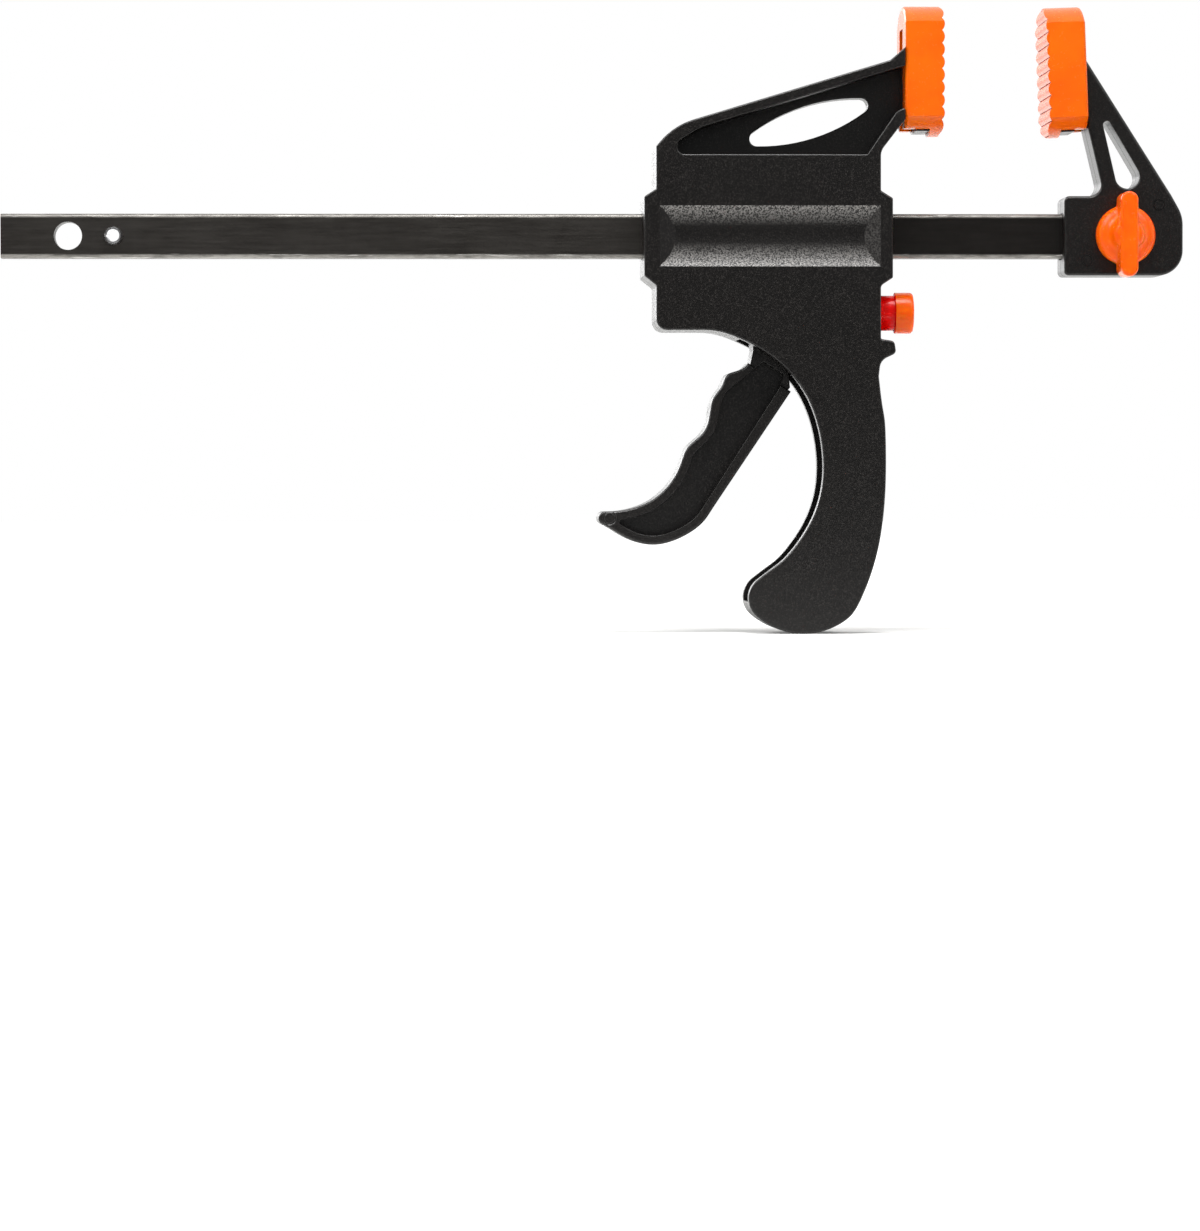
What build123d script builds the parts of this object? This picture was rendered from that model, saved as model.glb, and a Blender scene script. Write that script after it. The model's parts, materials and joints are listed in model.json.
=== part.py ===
"""Quick release bar clamp of the 100 mm (4 in) class, in millimetres.

Frame: the origin is the centre of the spreader hole in the free end of the bar. +X runs along
the bar towards the fixed jaw, +Z points from the bar to the jaw pads, and -Y is the face that
carries the lock knob. Everything in the carriage is drawn in (u, z), where u is X measured from
the carriage's free end, and everything in the fixed jaw in (u, z) from the fixed jaw's left face.
"""
from build123d import *
import os
from math import cos, radians, sin, tan

# ---- clearances ---------------------------------------------------------------------------
SLIDE_CLEARANCE = 0.15  # bar to each face of the channel it runs in
RUNNING_CLEARANCE = 0.05  # radial, a pin, stem or screw in its bore
SEAT_GAP = 0.05  # between two faces that bear on each other in use
PAD_CLEARANCE = 0.1  # jaw tongue in the soft pad's pocket
PLATE_CLEARANCE = 0.2  # clamping plates over the bar, on each side
SIDE_CLEARANCE = 0.3  # trigger in its slot, on each side

# ---- bar ----------------------------------------------------------------------------------
BAR_LENGTH = 193.2
BAR_HEIGHT = 7.45
BAR_THICKNESS = 4.5
BAR_EDGE_RADIUS = 0.8
BAR_TAIL = 11.2  # free end to the spreader hole
SPREADER_HOLE_DIAMETER = 4.7
STOP_PIN_SETBACK = 7.6  # spreader hole to the stop pin
STOP_PIN_DIAMETER = 3.0
STOP_PIN_BORE = 2.1
STOP_PIN_SLIT = 0.7
STOP_PIN_LENGTH = 8.0

# ---- jaw pads (one moulding, used on both jaws) ----------------------------------------------
PAD_WIDTH = 15.5
PAD_HEIGHT = 21.8
PAD_DEPTH = 6.6  # back face to the crest of the teeth
PAD_CROWN = 3.0  # rise of the arched top and bottom
PAD_BACK_WALL = 2.1
PAD_BACK_RISE = 1.1  # the back wall ends this much above the bottom
PAD_EDGE_RADIUS = 0.6
PAD_CENTRE_HEIGHT = 27.65  # bar centreline to the pad's middle
TOOTH_COUNT = 10
TOOTH_DEPTH = 0.45
TOOTH_MARGIN = 0.3

# ---- jaw tongue that carries a pad --------------------------------------------------------------
TONGUE_THICKNESS = 2.2
TONGUE_WIDTH = 9.2
TONGUE_TOP = 7.6  # from the pad's middle
TONGUE_BOTTOM = 10.2
NECK_WIDTH = 5.2
NECK_BOTTOM = 8.3
NECK_ROOT = 0.5  # the neck starts this far inside the jaw
MOVING_NECK_TOP = 2.8  # from the pad's middle
FIXED_NECK_TOP = 1.2
PAD_SLOT_TOP = 7.0  # the slot in the pad's back reaches this far above its middle

# ---- fixed jaw --------------------------------------------------------------------------------
BAR_INSERTION = 15.5  # how far the bar reaches into the fixed jaw
SOCKET_END_GAP = 0.3
FIXED_JAW_THICKNESS = 9.5
FIXED_BLOCK_LENGTH = 20.0
FIXED_BLOCK_HALF_HEIGHT = 6.6
FIXED_JAW_TOE_IN = 2.2  # degrees, the fixed pad leans towards the moving one
FIXED_PAD_BACK = 3.45  # block's left face to the pad's back, at the pad's middle
FIXED_ARM_ROOT = 6.7  # block's left face to the arm's inner edge, at the block
FIXED_EDGE_RADIUS = 0.5
FIXED_ARM_END = 1.9  # the arm's back starts this far short of the block's end
FIXED_HEEL_DROP = 3.3  # depth of the rounded corner below the arm's back
FIXED_HEEL_RADIUS = 6.0
FIXED_WINDOW = [(7.2, 18.5, 0.65), (10.65, 9.9, 2.05)]  # a drop: centre and radius of each end
FIXED_MARKS = [(15.9, 5.1), (3.8, -4.2)]  # round moulding marks in the front face
MARK_RADIUS = 1.0
MARK_WIDTH = 0.25
MARK_DEPTH = 0.15
LOCK_SETBACK = 10.15  # block's left face to the lock stud

# ---- lock ----------------------------------------------------------------------------------------
STUD_DIAMETER = 4.0
KNOB_DIAMETER = 10.0
KNOB_FLANGE = 3.4
KNOB_HUB_DIAMETER = 5.2
KNOB_HUB_HEIGHT = 2.7
KNOB_WING_LENGTH = 14.2
KNOB_WING_WIDTH = 3.0
KNOB_WING_HEIGHT = 3.2
KNOB_WING_LIFT = 0.3  # the wing's ends clear the jaw by this much more than the flange
STUD_IN_KNOB = 5.4
NUT_ACROSS_FLATS = 7.0
NUT_THICKNESS = 3.2
NUT_BOSS_DIAMETER = 11.6
NUT_BOSS_HEIGHT = 2.4
NUT_SINK = 0.2  # nut face below the boss's rim
STUD_PROUD = 0.6  # stud end beyond the nut

# ---- carriage casing ---------------------------------------------------------------------------
REST_OPENING = 16.8  # between the pads at rest
CASING_THICKNESS = 16.5
CASING_WALL = 2.55  # outer wall over the inner chambers
CASING_EDGE_RADIUS = 0.35
RIM_RADIUS = 0.3  # on the rims of windows and sunk fields
SLEEVE_LENGTH = 41.5  # along the bar, end to end
SLEEVE_OVERHANG = 0.55  # the sleeve's free end lies this far beyond the carriage's datum
SLEEVE_HALF_HEIGHT = 6.4
SHOULDER = 2.0  # the casing is stepped in this much at each end of the sleeve
CASING_DEPTH = 15.9  # bar centreline to the casing's lower edge
JAW_REACH = 43.05  # carriage's free end to the pad's back
JAW_TIP_TOP = 31.2
JAW_TIP_BOTTOM = 19.2
JAW_BACK_HEIGHT = 14.7
JAW_CREST = (4.4, 18.1)
JAW_CREST_RADIUS = 12.0
JAW_RIB = 1.7
JAW_WEB_THICKNESS = 4.4
RECESS_FLOOR = 13.35
RECESS_BEND = 4.5  # the sunk field's upper bend lies this far beyond the crest
RECESS_BEND_RADIUS = 8.0
WINDOW_LENGTH = 25.0
WINDOW_WIDTH = 5.5
WINDOW_END_RADIUS = 1.25
WINDOW_CENTRE = (27.35, 19.05)
WINDOW_SLOPE = 17.7
SCOOP_HALF_HEIGHT = 5.1
SCOOP_DROP = 0.25  # bar centreline to the scoop's middle
SCOOP_DEPTH = 1.35
SCOOP_END_SLOPE = 2.8  # length of each sloped end wall of the scoop

# ---- grip behind the trigger ----------------------------------------------------------------------
ARCH = [(9.5, -15.9), (14.9, -17.1), (21.1, -20.6), (26.2, -26.3), (28.9, -34.0)]
ARCH_LOWER = [(29.2, -41.0), (26.8, -48.6), (22.6, -54.2), (18.3, -57.5)]
HEEL_END = (18.2, -63.7)
TOE_END = (33.2, -64.2)
GRIP_BACK = [(35.7, -60.6), (38.1, -54.0), (39.4, -46.5), (39.8, -38.0), (39.6, -31.0), (38.6, -23.6)]
SPUR = [(38.9, -21.0, 2.0), (41.5, -19.75, 0.8), (41.2, -17.75, 0.8)]
SPUR_ROOT = 17.4
GRIP_HOLLOW = [  # open through the arch, so that the squeezed trigger can enter
    (32.2, -19.5), (36.5, -19.5), (37.2, -38.0), (36.2, -51.5), (32.6, -60.0), (28.0, -63.4), (21.5, -62.6),
    (19.9, -61.2), (13.5, -61.2), (13.5, -55.5), (20.0, -50.0), (24.5, -42.0), (25.5, -33.0), (31.4, -33.0),
]

# ---- chambers inside the casing ---------------------------------------------------------------------
END_WALL = 4.0
DRIVE_CHAMBER_END = 23.1
BRAKE_CHAMBER_START = 24.5
BRAKE_CHAMBER_END = 36.5
DRIVE_CHAMBER_TOP = 9.0
DRIVE_CHAMBER_FLOOR = -10.0
BRAKE_CHAMBER_TOP = 9.6
BRAKE_CHAMBER_FLOOR = -17.0
TRIGGER_BAY = [
    (16.4, -9.0), (23.5, -9.0), (23.5, -12.2), (30.0, -22.3), (30.4, -26.0), (29.8, -34.0),
    (24.0, -40.0), (15.0, -30.0), (15.0, -18.5), (16.4, -15.5),
]

# ---- trigger ---------------------------------------------------------------------------------------
TRIGGER_WIDTH = 11.0
TRIGGER_NECK_WIDTH = 9.4
TRIGGER_ARM_WIDTH = 7.0
TRIGGER_WEB = 5.0
TRIGGER_RIM = 1.5
TRIGGER_POCKET_TOP = [(22.2, -25.5), (22.95, -23.2), (19.6, -21.05)]  # part in the neck
TRIGGER_POCKET_START = 5.9  # along the scallops from the shoulder
TRIGGER_TIP_SOLID = 2.3  # along either edge of the tip
TRIGGER_EDGE_RADIUS = 0.45
TRIGGER_STROKE = 24.0  # degrees
TRIGGER_PIVOT = (20.0, -13.6)
TRIGGER_BOSS_RADIUS = 3.0
TRIGGER_ARM = 6.5  # pivot to the centre of the pusher nose
TRIGGER_NOSE_RADIUS = 1.2
TRIGGER_ARM_THICKNESS = 1.5
TRIGGER_SCALLOPS = [
    (16.9, -21.3), (15.2, -22.6), (13.3, -23.4), (12.6, -24.9), (11.1, -27.1), (10.6, -29.0),
    (10.2, -31.2), (8.9, -33.4), (6.9, -35.2), (5.5, -38.4), (3.2, -42.1), (0.2, -44.5),
    (-3.0, -45.7), (-7.0, -46.1),
]
TRIGGER_TIP_END = (-7.5, -48.25)
TRIGGER_SOLE = [
    (-4.7, -49.9), (-1.2, -51.4), (1.65, -51.65), (4.45, -51.0), (7.2, -49.65), (9.6, -47.65), (11.2, -45.3),
]
TRIGGER_SHOULDER = (24.1, -26.1)
TRIGGER_NECK = [(17.2, -13.6), (22.8, -13.6), (24.0, -25.4), (23.1, -26.5), (17.1, -22.5), (17.8, -19.2)]
PIVOT_PIN_DIAMETER = 3.0
PIVOT_PIN_BITE = 1.5  # depth of the pin in each casing half

# ---- clamping plates and springs ----------------------------------------------------------------------
DRIVE_PLATE_COUNT = 2
DRIVE_PLATE_THICKNESS = 1.4
DRIVE_PLATE_WIDTH = 10.0
DRIVE_PLATE_TOP = 8.4
DRIVE_PLATE_BOTTOM = 8.8
DRIVE_SPRING_WIRE = 0.9
DRIVE_SPRING_TURNS = 6.0
BRAKE_TILT = 8.0  # degrees
BRAKE_PLATE_THICKNESS = 2.0
BRAKE_PLATE_WIDTH = 10.0
BRAKE_PIVOT_U = 30.0
BRAKE_PIVOT_RISE = 8.5  # bar centreline to the plate's fulcrum, along the plate
BRAKE_PLATE_TOP = 0.75  # beyond the fulcrum
BRAKE_PLATE_BOTTOM = 16.0  # bar centreline to the lower end, along the plate
BRAKE_HOLE_SPARE = 0.045  # height left over the bar when the plate bites
FULCRUM_RIB = 1.2
FULCRUM_DEPTH = 3.0
FULCRUM_GAP = 0.45
BRAKE_SEAT_RIB = 1.2
BRAKE_SEAT_U = 25.7
BRAKE_SEAT_HALF_HEIGHT = 2.6
BRAKE_SPRING_DIAMETER = 4.6
BRAKE_SPRING_WIRE = 0.45
BRAKE_SPRING_TURNS = 4.0

# ---- release button ----------------------------------------------------------------------------------
BUTTON_DROP = 12.85  # bar centreline to the button's axis
BUTTON_TRAVEL = 2.4
BUTTON_CAP_DIAMETER = 6.9
BUTTON_CAP_LENGTH = 3.3
BUTTON_CAP_RADIUS = 0.5
BUTTON_STEM_DIAMETER = 5.9
BUTTON_SPARE = 0.45  # gap left under the cap when it is pressed home
BUTTON_FLANGE_DIAMETER = 7.4
BUTTON_FLANGE_THICKNESS = 1.0
BUTTON_NOSE_DIAMETER = 2.4

# ---- casing screws ------------------------------------------------------------------------------------
SCREW_DIAMETER = 2.2
SCREW_HEAD_DIAMETER = 3.8
SCREW_HEAD_HEIGHT = 1.5
SCREW_HEAD_SINK = 0.5
SCREW_HEAD_CLEARANCE = 0.2  # radial, in the counterbore
SCREW_LENGTH = 11.5
SCREW_CROSS = (2.2, 0.55, 0.8)  # length, width and depth of the cross recess
SCREW_BOSS_RADIUS = 2.6
SCREW_PLACES = [(8.0, 10.9), (29.0, 11.1), (8.0, -13.0), (34.4, -39.0), (26.8, -59.0)]

# ---- places worked out from the sizes above ---------------------------------------------------------
BAR_END = BAR_LENGTH - BAR_TAIL
FIXED_JAW_X = BAR_END - BAR_INSERTION
LOCK_X = FIXED_JAW_X + LOCK_SETBACK
TOE_IN = radians(FIXED_JAW_TOE_IN)
FIXED_PAD_TIP = FIXED_JAW_X + FIXED_PAD_BACK - PAD_DEPTH * cos(TOE_IN) - PAD_HEIGHT / 2 * sin(TOE_IN)
CARRIAGE_X = FIXED_PAD_TIP - REST_OPENING - PAD_DEPTH - JAW_REACH
CASING_HALF = CASING_THICKNESS / 2
CHAMBER_HALF = CASING_HALF - CASING_WALL
BODY_U = SHOULDER - SLEEVE_OVERHANG  # casing's stepped-in side towards the bar's free end
SLEEVE_END_U = SLEEVE_LENGTH - SLEEVE_OVERHANG
SIDE_U = SLEEVE_END_U - SHOULDER  # casing's stepped-in side below the jaw pad
CHANNEL_HALF_HEIGHT = BAR_HEIGHT / 2 + SLIDE_CLEARANCE
CHANNEL_HALF_WIDTH = BAR_THICKNESS / 2 + SLIDE_CLEARANCE
NOSE_ANGLE = radians(TRIGGER_STROKE / 2)
NOSE_CENTRE = (
    TRIGGER_PIVOT[0] + TRIGGER_ARM * sin(NOSE_ANGLE),
    TRIGGER_PIVOT[1] + TRIGGER_ARM * cos(NOSE_ANGLE),
)
DRIVE_FACE_U = NOSE_CENTRE[0] - TRIGGER_NOSE_RADIUS - SEAT_GAP
DRIVE_STACK_U = DRIVE_FACE_U - DRIVE_PLATE_COUNT * DRIVE_PLATE_THICKNESS
TILT = radians(BRAKE_TILT)
BRAKE_PIVOT_Z = BRAKE_PIVOT_RISE * cos(TILT)
BRAKE_HOLE_HEIGHT = (BAR_HEIGHT + BRAKE_HOLE_SPARE + BRAKE_PLATE_THICKNESS * sin(TILT)) / cos(TILT)
NOSE_STAND_OFF = BRAKE_PLATE_THICKNESS / 2 + BUTTON_NOSE_DIAMETER / 2 + SEAT_GAP
BUTTON_NOSE_U = BRAKE_PIVOT_U + (NOSE_STAND_OFF + (BRAKE_PIVOT_Z + BUTTON_DROP) * sin(TILT)) / cos(TILT)
CAP_U = SIDE_U + BUTTON_TRAVEL + BUTTON_SPARE


# ---- drawing helpers -----------------------------------------------------------------------------------
def prism(face, half_width, y_middle=0.0):
    """Extrude a face drawn in (x, z) by half_width to each side of the plane Y = y_middle."""
    placed = Plane.XZ.offset(-(y_middle + half_width)) * face
    return extrude(placed, amount=2 * half_width, dir=(0, -1, 0))


def rounded(corners):
    """Closed face over corners given as (x, z, radius) or, if sharp, as (x, z)."""
    points = [corner[:2] for corner in corners]
    radii = [corner[2] if len(corner) > 2 else 0.0 for corner in corners]
    return make_face(FilletPolyline(*points, radius=radii, close=True))


def block(u_start, u_end, z_start, z_end, half_width):
    """Box between two u values and two heights, even about the parting plane."""
    middle = ((u_start + u_end) / 2, 0, (z_start + z_end) / 2)
    return Pos(*middle) * Box(u_end - u_start, 2 * half_width, z_end - z_start)


def cut_with_rim(body, cutter, half, radius):
    """Cut a shape out and round the rims it leaves in the flat faces at half to each side of Y = 0."""
    body = body - cutter
    rims = []
    for edge in body.edges():
        middle = edge @ 0.5
        in_face = abs(abs(middle.Y) - half) < 1e-4 and edge.bounding_box().size.Y < 1e-4
        if in_face and cutter.distance_to(Vertex(*middle)) < 1e-4:
            rims.append(edge)
    return fillet(rims, radius)


def rod_y(radius, y_start, y_end, x=0.0, z=0.0):
    """Round rod along Y between two Y values."""
    return Pos(x, (y_start + y_end) / 2, z) * Rot(90, 0, 0) * Cylinder(radius, abs(y_end - y_start))


def rod_x(radius, x_start, x_end, z=0.0):
    """Round rod along X between two X values, on the plane Y = 0."""
    return Pos((x_start + x_end) / 2, 0, z) * Rot(0, 90, 0) * Cylinder(radius, x_end - x_start)


def coil_x(wire, mean_radius, turns, x_start, x_end, z=0.0):
    """Compression spring along X whose wire just fits between two X values."""
    height = x_end - x_start - wire
    path = Helix(height / turns, height, mean_radius, center=(x_start + wire / 2, 0, z), direction=(1, 0, 0))
    section = Plane(origin=path @ 0, z_dir=path % 0) * Circle(wire / 2)
    return sweep(section, path=path, is_frenet=True)


# ---- bar ---------------------------------------------------------------------------------------------
def bar():
    """Flat steel bar with rounded long edges, the spreader hole, the pin hole and the stud hole."""
    middle = BAR_LENGTH / 2 - BAR_TAIL
    body = Pos(middle, 0, 0) * Box(BAR_LENGTH, BAR_THICKNESS, BAR_HEIGHT)
    body = fillet(body.edges().filter_by(Axis.X), BAR_EDGE_RADIUS)
    holes = [
        (0.0, SPREADER_HOLE_DIAMETER),
        (STOP_PIN_SETBACK, STOP_PIN_DIAMETER),
        (LOCK_X, SPREADER_HOLE_DIAMETER),
    ]
    for place, diameter in holes:
        body -= rod_y(diameter / 2, -BAR_THICKNESS, BAR_THICKNESS, x=place)
    return body


def bar_stop_pin():
    """Slotted spring pin pressed through the bar, its slit towards the bar's free end."""
    pin = rod_y(STOP_PIN_DIAMETER / 2, -STOP_PIN_LENGTH / 2, STOP_PIN_LENGTH / 2)
    pin -= rod_y(STOP_PIN_BORE / 2, -STOP_PIN_LENGTH, STOP_PIN_LENGTH)
    pin -= Pos(-STOP_PIN_DIAMETER / 2, 0, 0) * Box(STOP_PIN_DIAMETER, 2 * STOP_PIN_LENGTH, STOP_PIN_SLIT)
    return Pos(STOP_PIN_SETBACK, 0, 0) * pin


# ---- pads and tongues: back face at x = 0, teeth towards +x, middle at z = 0 ----------------------------
def pad():
    """Soft pad: arched block with rounded cross teeth and a pocket, open below, for the tongue."""
    half = PAD_HEIGHT / 2
    root = PAD_DEPTH - TOOTH_DEPTH
    pitch = (PAD_HEIGHT - 2 * TOOTH_MARGIN) / TOOTH_COUNT
    edges = [Polyline((root, half - TOOTH_MARGIN), (root, half), (0, half), (0, -half), (root, -half),
                      (root, -half + TOOTH_MARGIN))]
    for index in range(TOOTH_COUNT):
        low = -half + TOOTH_MARGIN + index * pitch
        edges.append(ThreePointArc((root, low), (PAD_DEPTH, low + pitch / 2), (root, low + pitch)))
    side_view = prism(make_face(Curve() + edges), PAD_WIDTH / 2)
    shoulder = half - PAD_CROWN
    side = PAD_WIDTH / 2
    end_view = make_face(Curve() + [
        Line((-side, -shoulder), (-side, shoulder)),
        ThreePointArc((-side, shoulder), (0, half), (side, shoulder)),
        Line((side, shoulder), (side, -shoulder)),
        ThreePointArc((side, -shoulder), (0, -half), (-side, -shoulder)),
    ])
    arched = extrude(Plane.YZ * end_view, amount=PAD_DEPTH)
    body = side_view & arched
    back_edges = body.faces().sort_by(Axis.X)[0].outer_wire().edges()
    body = fillet(back_edges, PAD_EDGE_RADIUS)
    pocket_start = PAD_BACK_WALL - PAD_CLEARANCE
    pocket_end = PAD_BACK_WALL + TONGUE_THICKNESS + PAD_CLEARANCE
    pocket_half = TONGUE_WIDTH / 2 + PAD_CLEARANCE
    body -= block(pocket_start, pocket_end, -PAD_HEIGHT, TONGUE_TOP + PAD_CLEARANCE, pocket_half)
    body -= block(-PAD_DEPTH, pocket_start, -PAD_HEIGHT, PAD_SLOT_TOP, NECK_WIDTH / 2 + PAD_CLEARANCE)
    body -= block(-PAD_DEPTH, pocket_start, -PAD_HEIGHT, -half + PAD_BACK_RISE, PAD_WIDTH)
    return body


def tongue(neck_top):
    """Tongue and neck that stand out of a jaw and fill the pad's pocket and slot."""
    plate = block(PAD_BACK_WALL, PAD_BACK_WALL + TONGUE_THICKNESS, -TONGUE_BOTTOM, TONGUE_TOP, TONGUE_WIDTH / 2)
    neck = block(-NECK_ROOT, PAD_BACK_WALL, -NECK_BOTTOM, neck_top, NECK_WIDTH / 2)
    return plate + neck


def at_moving_jaw(shape):
    """Place a pad or tongue on the moving jaw, in carriage coordinates."""
    return Pos(JAW_REACH, 0, PAD_CENTRE_HEIGHT) * shape


def at_fixed_jaw(shape):
    """Place a pad or tongue on the fixed jaw, facing the moving one and toed in."""
    return Pos(FIXED_PAD_BACK, 0, PAD_CENTRE_HEIGHT) * Rot(0, 180 - FIXED_JAW_TOE_IN, 0) * Rot(180, 0, 0) * shape


# ---- fixed jaw ------------------------------------------------------------------------------------------
def fixed_jaw():
    """Nylon jaw: socket block on the bar, arm with a drop-shaped window, tongue and nut boss."""
    half = FIXED_BLOCK_HALF_HEIGHT
    slope = tan(TOE_IN)
    tip_height = PAD_CENTRE_HEIGHT + FIXED_NECK_TOP + 2 * NECK_ROOT
    heel_height = PAD_CENTRE_HEIGHT - NECK_BOTTOM - 0.5
    tip_u = FIXED_PAD_BACK - (tip_height - PAD_CENTRE_HEIGHT) * slope
    heel_u = FIXED_PAD_BACK - (heel_height - PAD_CENTRE_HEIGHT) * slope
    outline = rounded([
        (0.0, half, 0.9),
        (FIXED_ARM_ROOT, half, 2.0),
        (heel_u, heel_height),
        (tip_u, tip_height),
        (FIXED_BLOCK_LENGTH - FIXED_ARM_END, half + 0.1, 1.0),
        (FIXED_BLOCK_LENGTH, half - FIXED_HEEL_DROP, FIXED_HEEL_RADIUS),
        (FIXED_BLOCK_LENGTH, -half - 0.1, 4.2),
        (0.0, -half - 0.1, 0.8),
    ])
    body = prism(outline, FIXED_JAW_THICKNESS / 2)
    for end in (0, -1):
        rim = body.faces().sort_by(Axis.Y)[end].outer_wire().edges()
        body = fillet(rim, FIXED_EDGE_RADIUS)
    front = -FIXED_JAW_THICKNESS / 2
    ends = [Pos(u, z) * Circle(radius) for u, z, radius in FIXED_WINDOW]
    window = make_hull([edge for end in ends for edge in end.edges()])
    body = cut_with_rim(body, prism(window, FIXED_JAW_THICKNESS), -front, RIM_RADIUS)
    for u, z in FIXED_MARKS:
        ring = rod_y(MARK_RADIUS, front - MARK_DEPTH, front + MARK_DEPTH, x=u, z=z)
        body -= ring - rod_y(MARK_RADIUS - MARK_WIDTH, front - MARK_DEPTH, front + MARK_DEPTH, x=u, z=z)
    body += at_fixed_jaw(tongue(FIXED_NECK_TOP))
    rear = FIXED_JAW_THICKNESS / 2
    body += rod_y(NUT_BOSS_DIAMETER / 2, 0, rear + NUT_BOSS_HEIGHT, x=LOCK_SETBACK)
    body -= block(-1.0, BAR_INSERTION + SOCKET_END_GAP, -CHANNEL_HALF_HEIGHT, CHANNEL_HALF_HEIGHT,
                  CHANNEL_HALF_WIDTH)
    body -= rod_y(STUD_DIAMETER / 2 + RUNNING_CLEARANCE, -FIXED_JAW_THICKNESS, FIXED_JAW_THICKNESS, x=LOCK_SETBACK)
    pocket = RegularPolygon(NUT_ACROSS_FLATS / 2 + RUNNING_CLEARANCE, 6, major_radius=False)
    body -= Pos(LOCK_SETBACK, 0, 0) * prism(pocket, NUT_THICKNESS, nut_start() + NUT_THICKNESS)
    return Pos(FIXED_JAW_X, 0, 0) * body


def nut_start():
    """Y of the nut's inner face, the floor of the hexagonal pocket."""
    return FIXED_JAW_THICKNESS / 2 + NUT_BOSS_HEIGHT - NUT_SINK - NUT_THICKNESS


def lock_nut():
    """Hexagon nut held in the pocket at the back of the fixed jaw."""
    hexagon = RegularPolygon(NUT_ACROSS_FLATS / 2, 6, major_radius=False)
    nut = prism(hexagon, NUT_THICKNESS / 2, nut_start() + NUT_THICKNESS / 2)
    nut -= rod_y(STUD_DIAMETER / 2 + RUNNING_CLEARANCE, 0, 4 * NUT_THICKNESS)
    return Pos(LOCK_X, 0, 0) * nut


def knob_back():
    """Y of the knob flange's bearing face."""
    return -FIXED_JAW_THICKNESS / 2 - SEAT_GAP


def lock_knob():
    """Wing knob: round flange, hub and a wing with rounded ends, moulded round the stud."""
    front = knob_back() - KNOB_FLANGE
    flange = rod_y(KNOB_DIAMETER / 2, front, knob_back())
    flange = fillet(flange.faces().sort_by(Axis.Y)[0].edges(), KNOB_FLANGE / 4)
    hub = rod_y(KNOB_HUB_DIAMETER / 2, front - KNOB_HUB_HEIGHT, front + KNOB_FLANGE / 2)
    hub = fillet(hub.faces().sort_by(Axis.Y)[0].edges(), KNOB_HUB_DIAMETER / 5)
    tip = front - KNOB_WING_HEIGHT
    wing_outline = Rot(0, 0, 90) * SlotOverall(KNOB_WING_LENGTH, KNOB_WING_WIDTH)
    root = knob_back() - KNOB_WING_LIFT
    wing = prism(wing_outline, (root - tip) / 2, (root + tip) / 2)
    wing = fillet(wing.faces().sort_by(Axis.Y)[0].edges(), KNOB_WING_WIDTH / 2.5)
    knob = flange + hub + wing
    knob -= rod_y(STUD_DIAMETER / 2, knob_back() - STUD_IN_KNOB, 0)
    return Pos(LOCK_X, 0, 0) * knob


def lock_stud():
    """Threaded stud fast in the knob, through the fixed jaw and the bar into the nut."""
    end = nut_start() + NUT_THICKNESS + STUD_PROUD
    stud = rod_y(STUD_DIAMETER / 2, knob_back() - STUD_IN_KNOB, end)
    stud = chamfer(stud.faces().sort_by(Axis.Y)[-1].edges(), STUD_PROUD / 2)
    return Pos(LOCK_X, 0, 0) * stud


# ---- casing ---------------------------------------------------------------------------------------------
def casing_outline():
    """Outline of both casing halves: moving jaw, sleeve, body, finger spur and pistol grip."""
    sleeve = SLEEVE_HALF_HEIGHT
    upper = FilletPolyline(
        GRIP_BACK[-1],
        *[corner[:2] for corner in SPUR],
        (SIDE_U, -SPUR_ROOT),
        (SIDE_U, -sleeve - 2.1),
        (SLEEVE_END_U, -sleeve - 0.8),
        (SLEEVE_END_U, sleeve - 0.35),
        (SIDE_U, sleeve + 0.9),
        (SIDE_U, JAW_BACK_HEIGHT - 0.8),
        (JAW_REACH, JAW_TIP_BOTTOM),
        (JAW_REACH, JAW_TIP_TOP),
        (JAW_REACH - 2.55, JAW_TIP_TOP - 2.2),
        JAW_CREST,
        (BODY_U, JAW_BACK_HEIGHT),
        (BODY_U, sleeve + 1.2),
        (-SLEEVE_OVERHANG, sleeve - 0.1),
        (-SLEEVE_OVERHANG, -sleeve - 0.5),
        (BODY_U, -sleeve - 2.1),
        (BODY_U, -CASING_DEPTH),
        ARCH[0],
        radius=[corner[2] for corner in SPUR]
        + [0.3, 0.9, 0.3, 0.3, 0.4, 2.5, 0.0, 0.0, 0.8, JAW_CREST_RADIUS, 0.5, 0.4, 0.4, 0.4, 0.5, 1.8],
    )
    arch = Spline(*ARCH, *ARCH_LOWER, tangents=((1, 0), (-0.78, -0.62)))
    heel = TangentArc(arch @ 1, HEEL_END, tangent=arch % 1)
    toe = TangentArc(heel @ 1, TOE_END, tangent=heel % 1)
    back = Spline(toe @ 1, *GRIP_BACK, tangents=(toe % 1, (-0.1, 1)))
    return make_face(Curve() + [upper, arch, heel, toe, back])


def jaw_recess():
    """Outline of the sunk field between the ribs of the moving jaw, open towards the pad."""
    rise = (JAW_TIP_TOP - 2.2 - JAW_CREST[1]) / (JAW_REACH - 2.55 - JAW_CREST[0])
    beyond = JAW_REACH + 1.0
    top = JAW_CREST[1] + rise * (beyond - JAW_CREST[0]) - JAW_RIB
    bend_u = JAW_CREST[0] + RECESS_BEND
    return rounded([
        (beyond, top),
        (bend_u, top - rise * (beyond - bend_u), RECESS_BEND_RADIUS),
        (BODY_U + 3.75, JAW_BACK_HEIGHT + 0.8, 0.5),
        (BODY_U + 3.45, RECESS_FLOOR, 1.1),
        (SIDE_U - 2.3, RECESS_FLOOR, 0.3),
        (JAW_REACH - 1.5, JAW_TIP_BOTTOM + 1.3, 2.0),
        (beyond, JAW_TIP_BOTTOM + 2.4),
    ])


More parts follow.
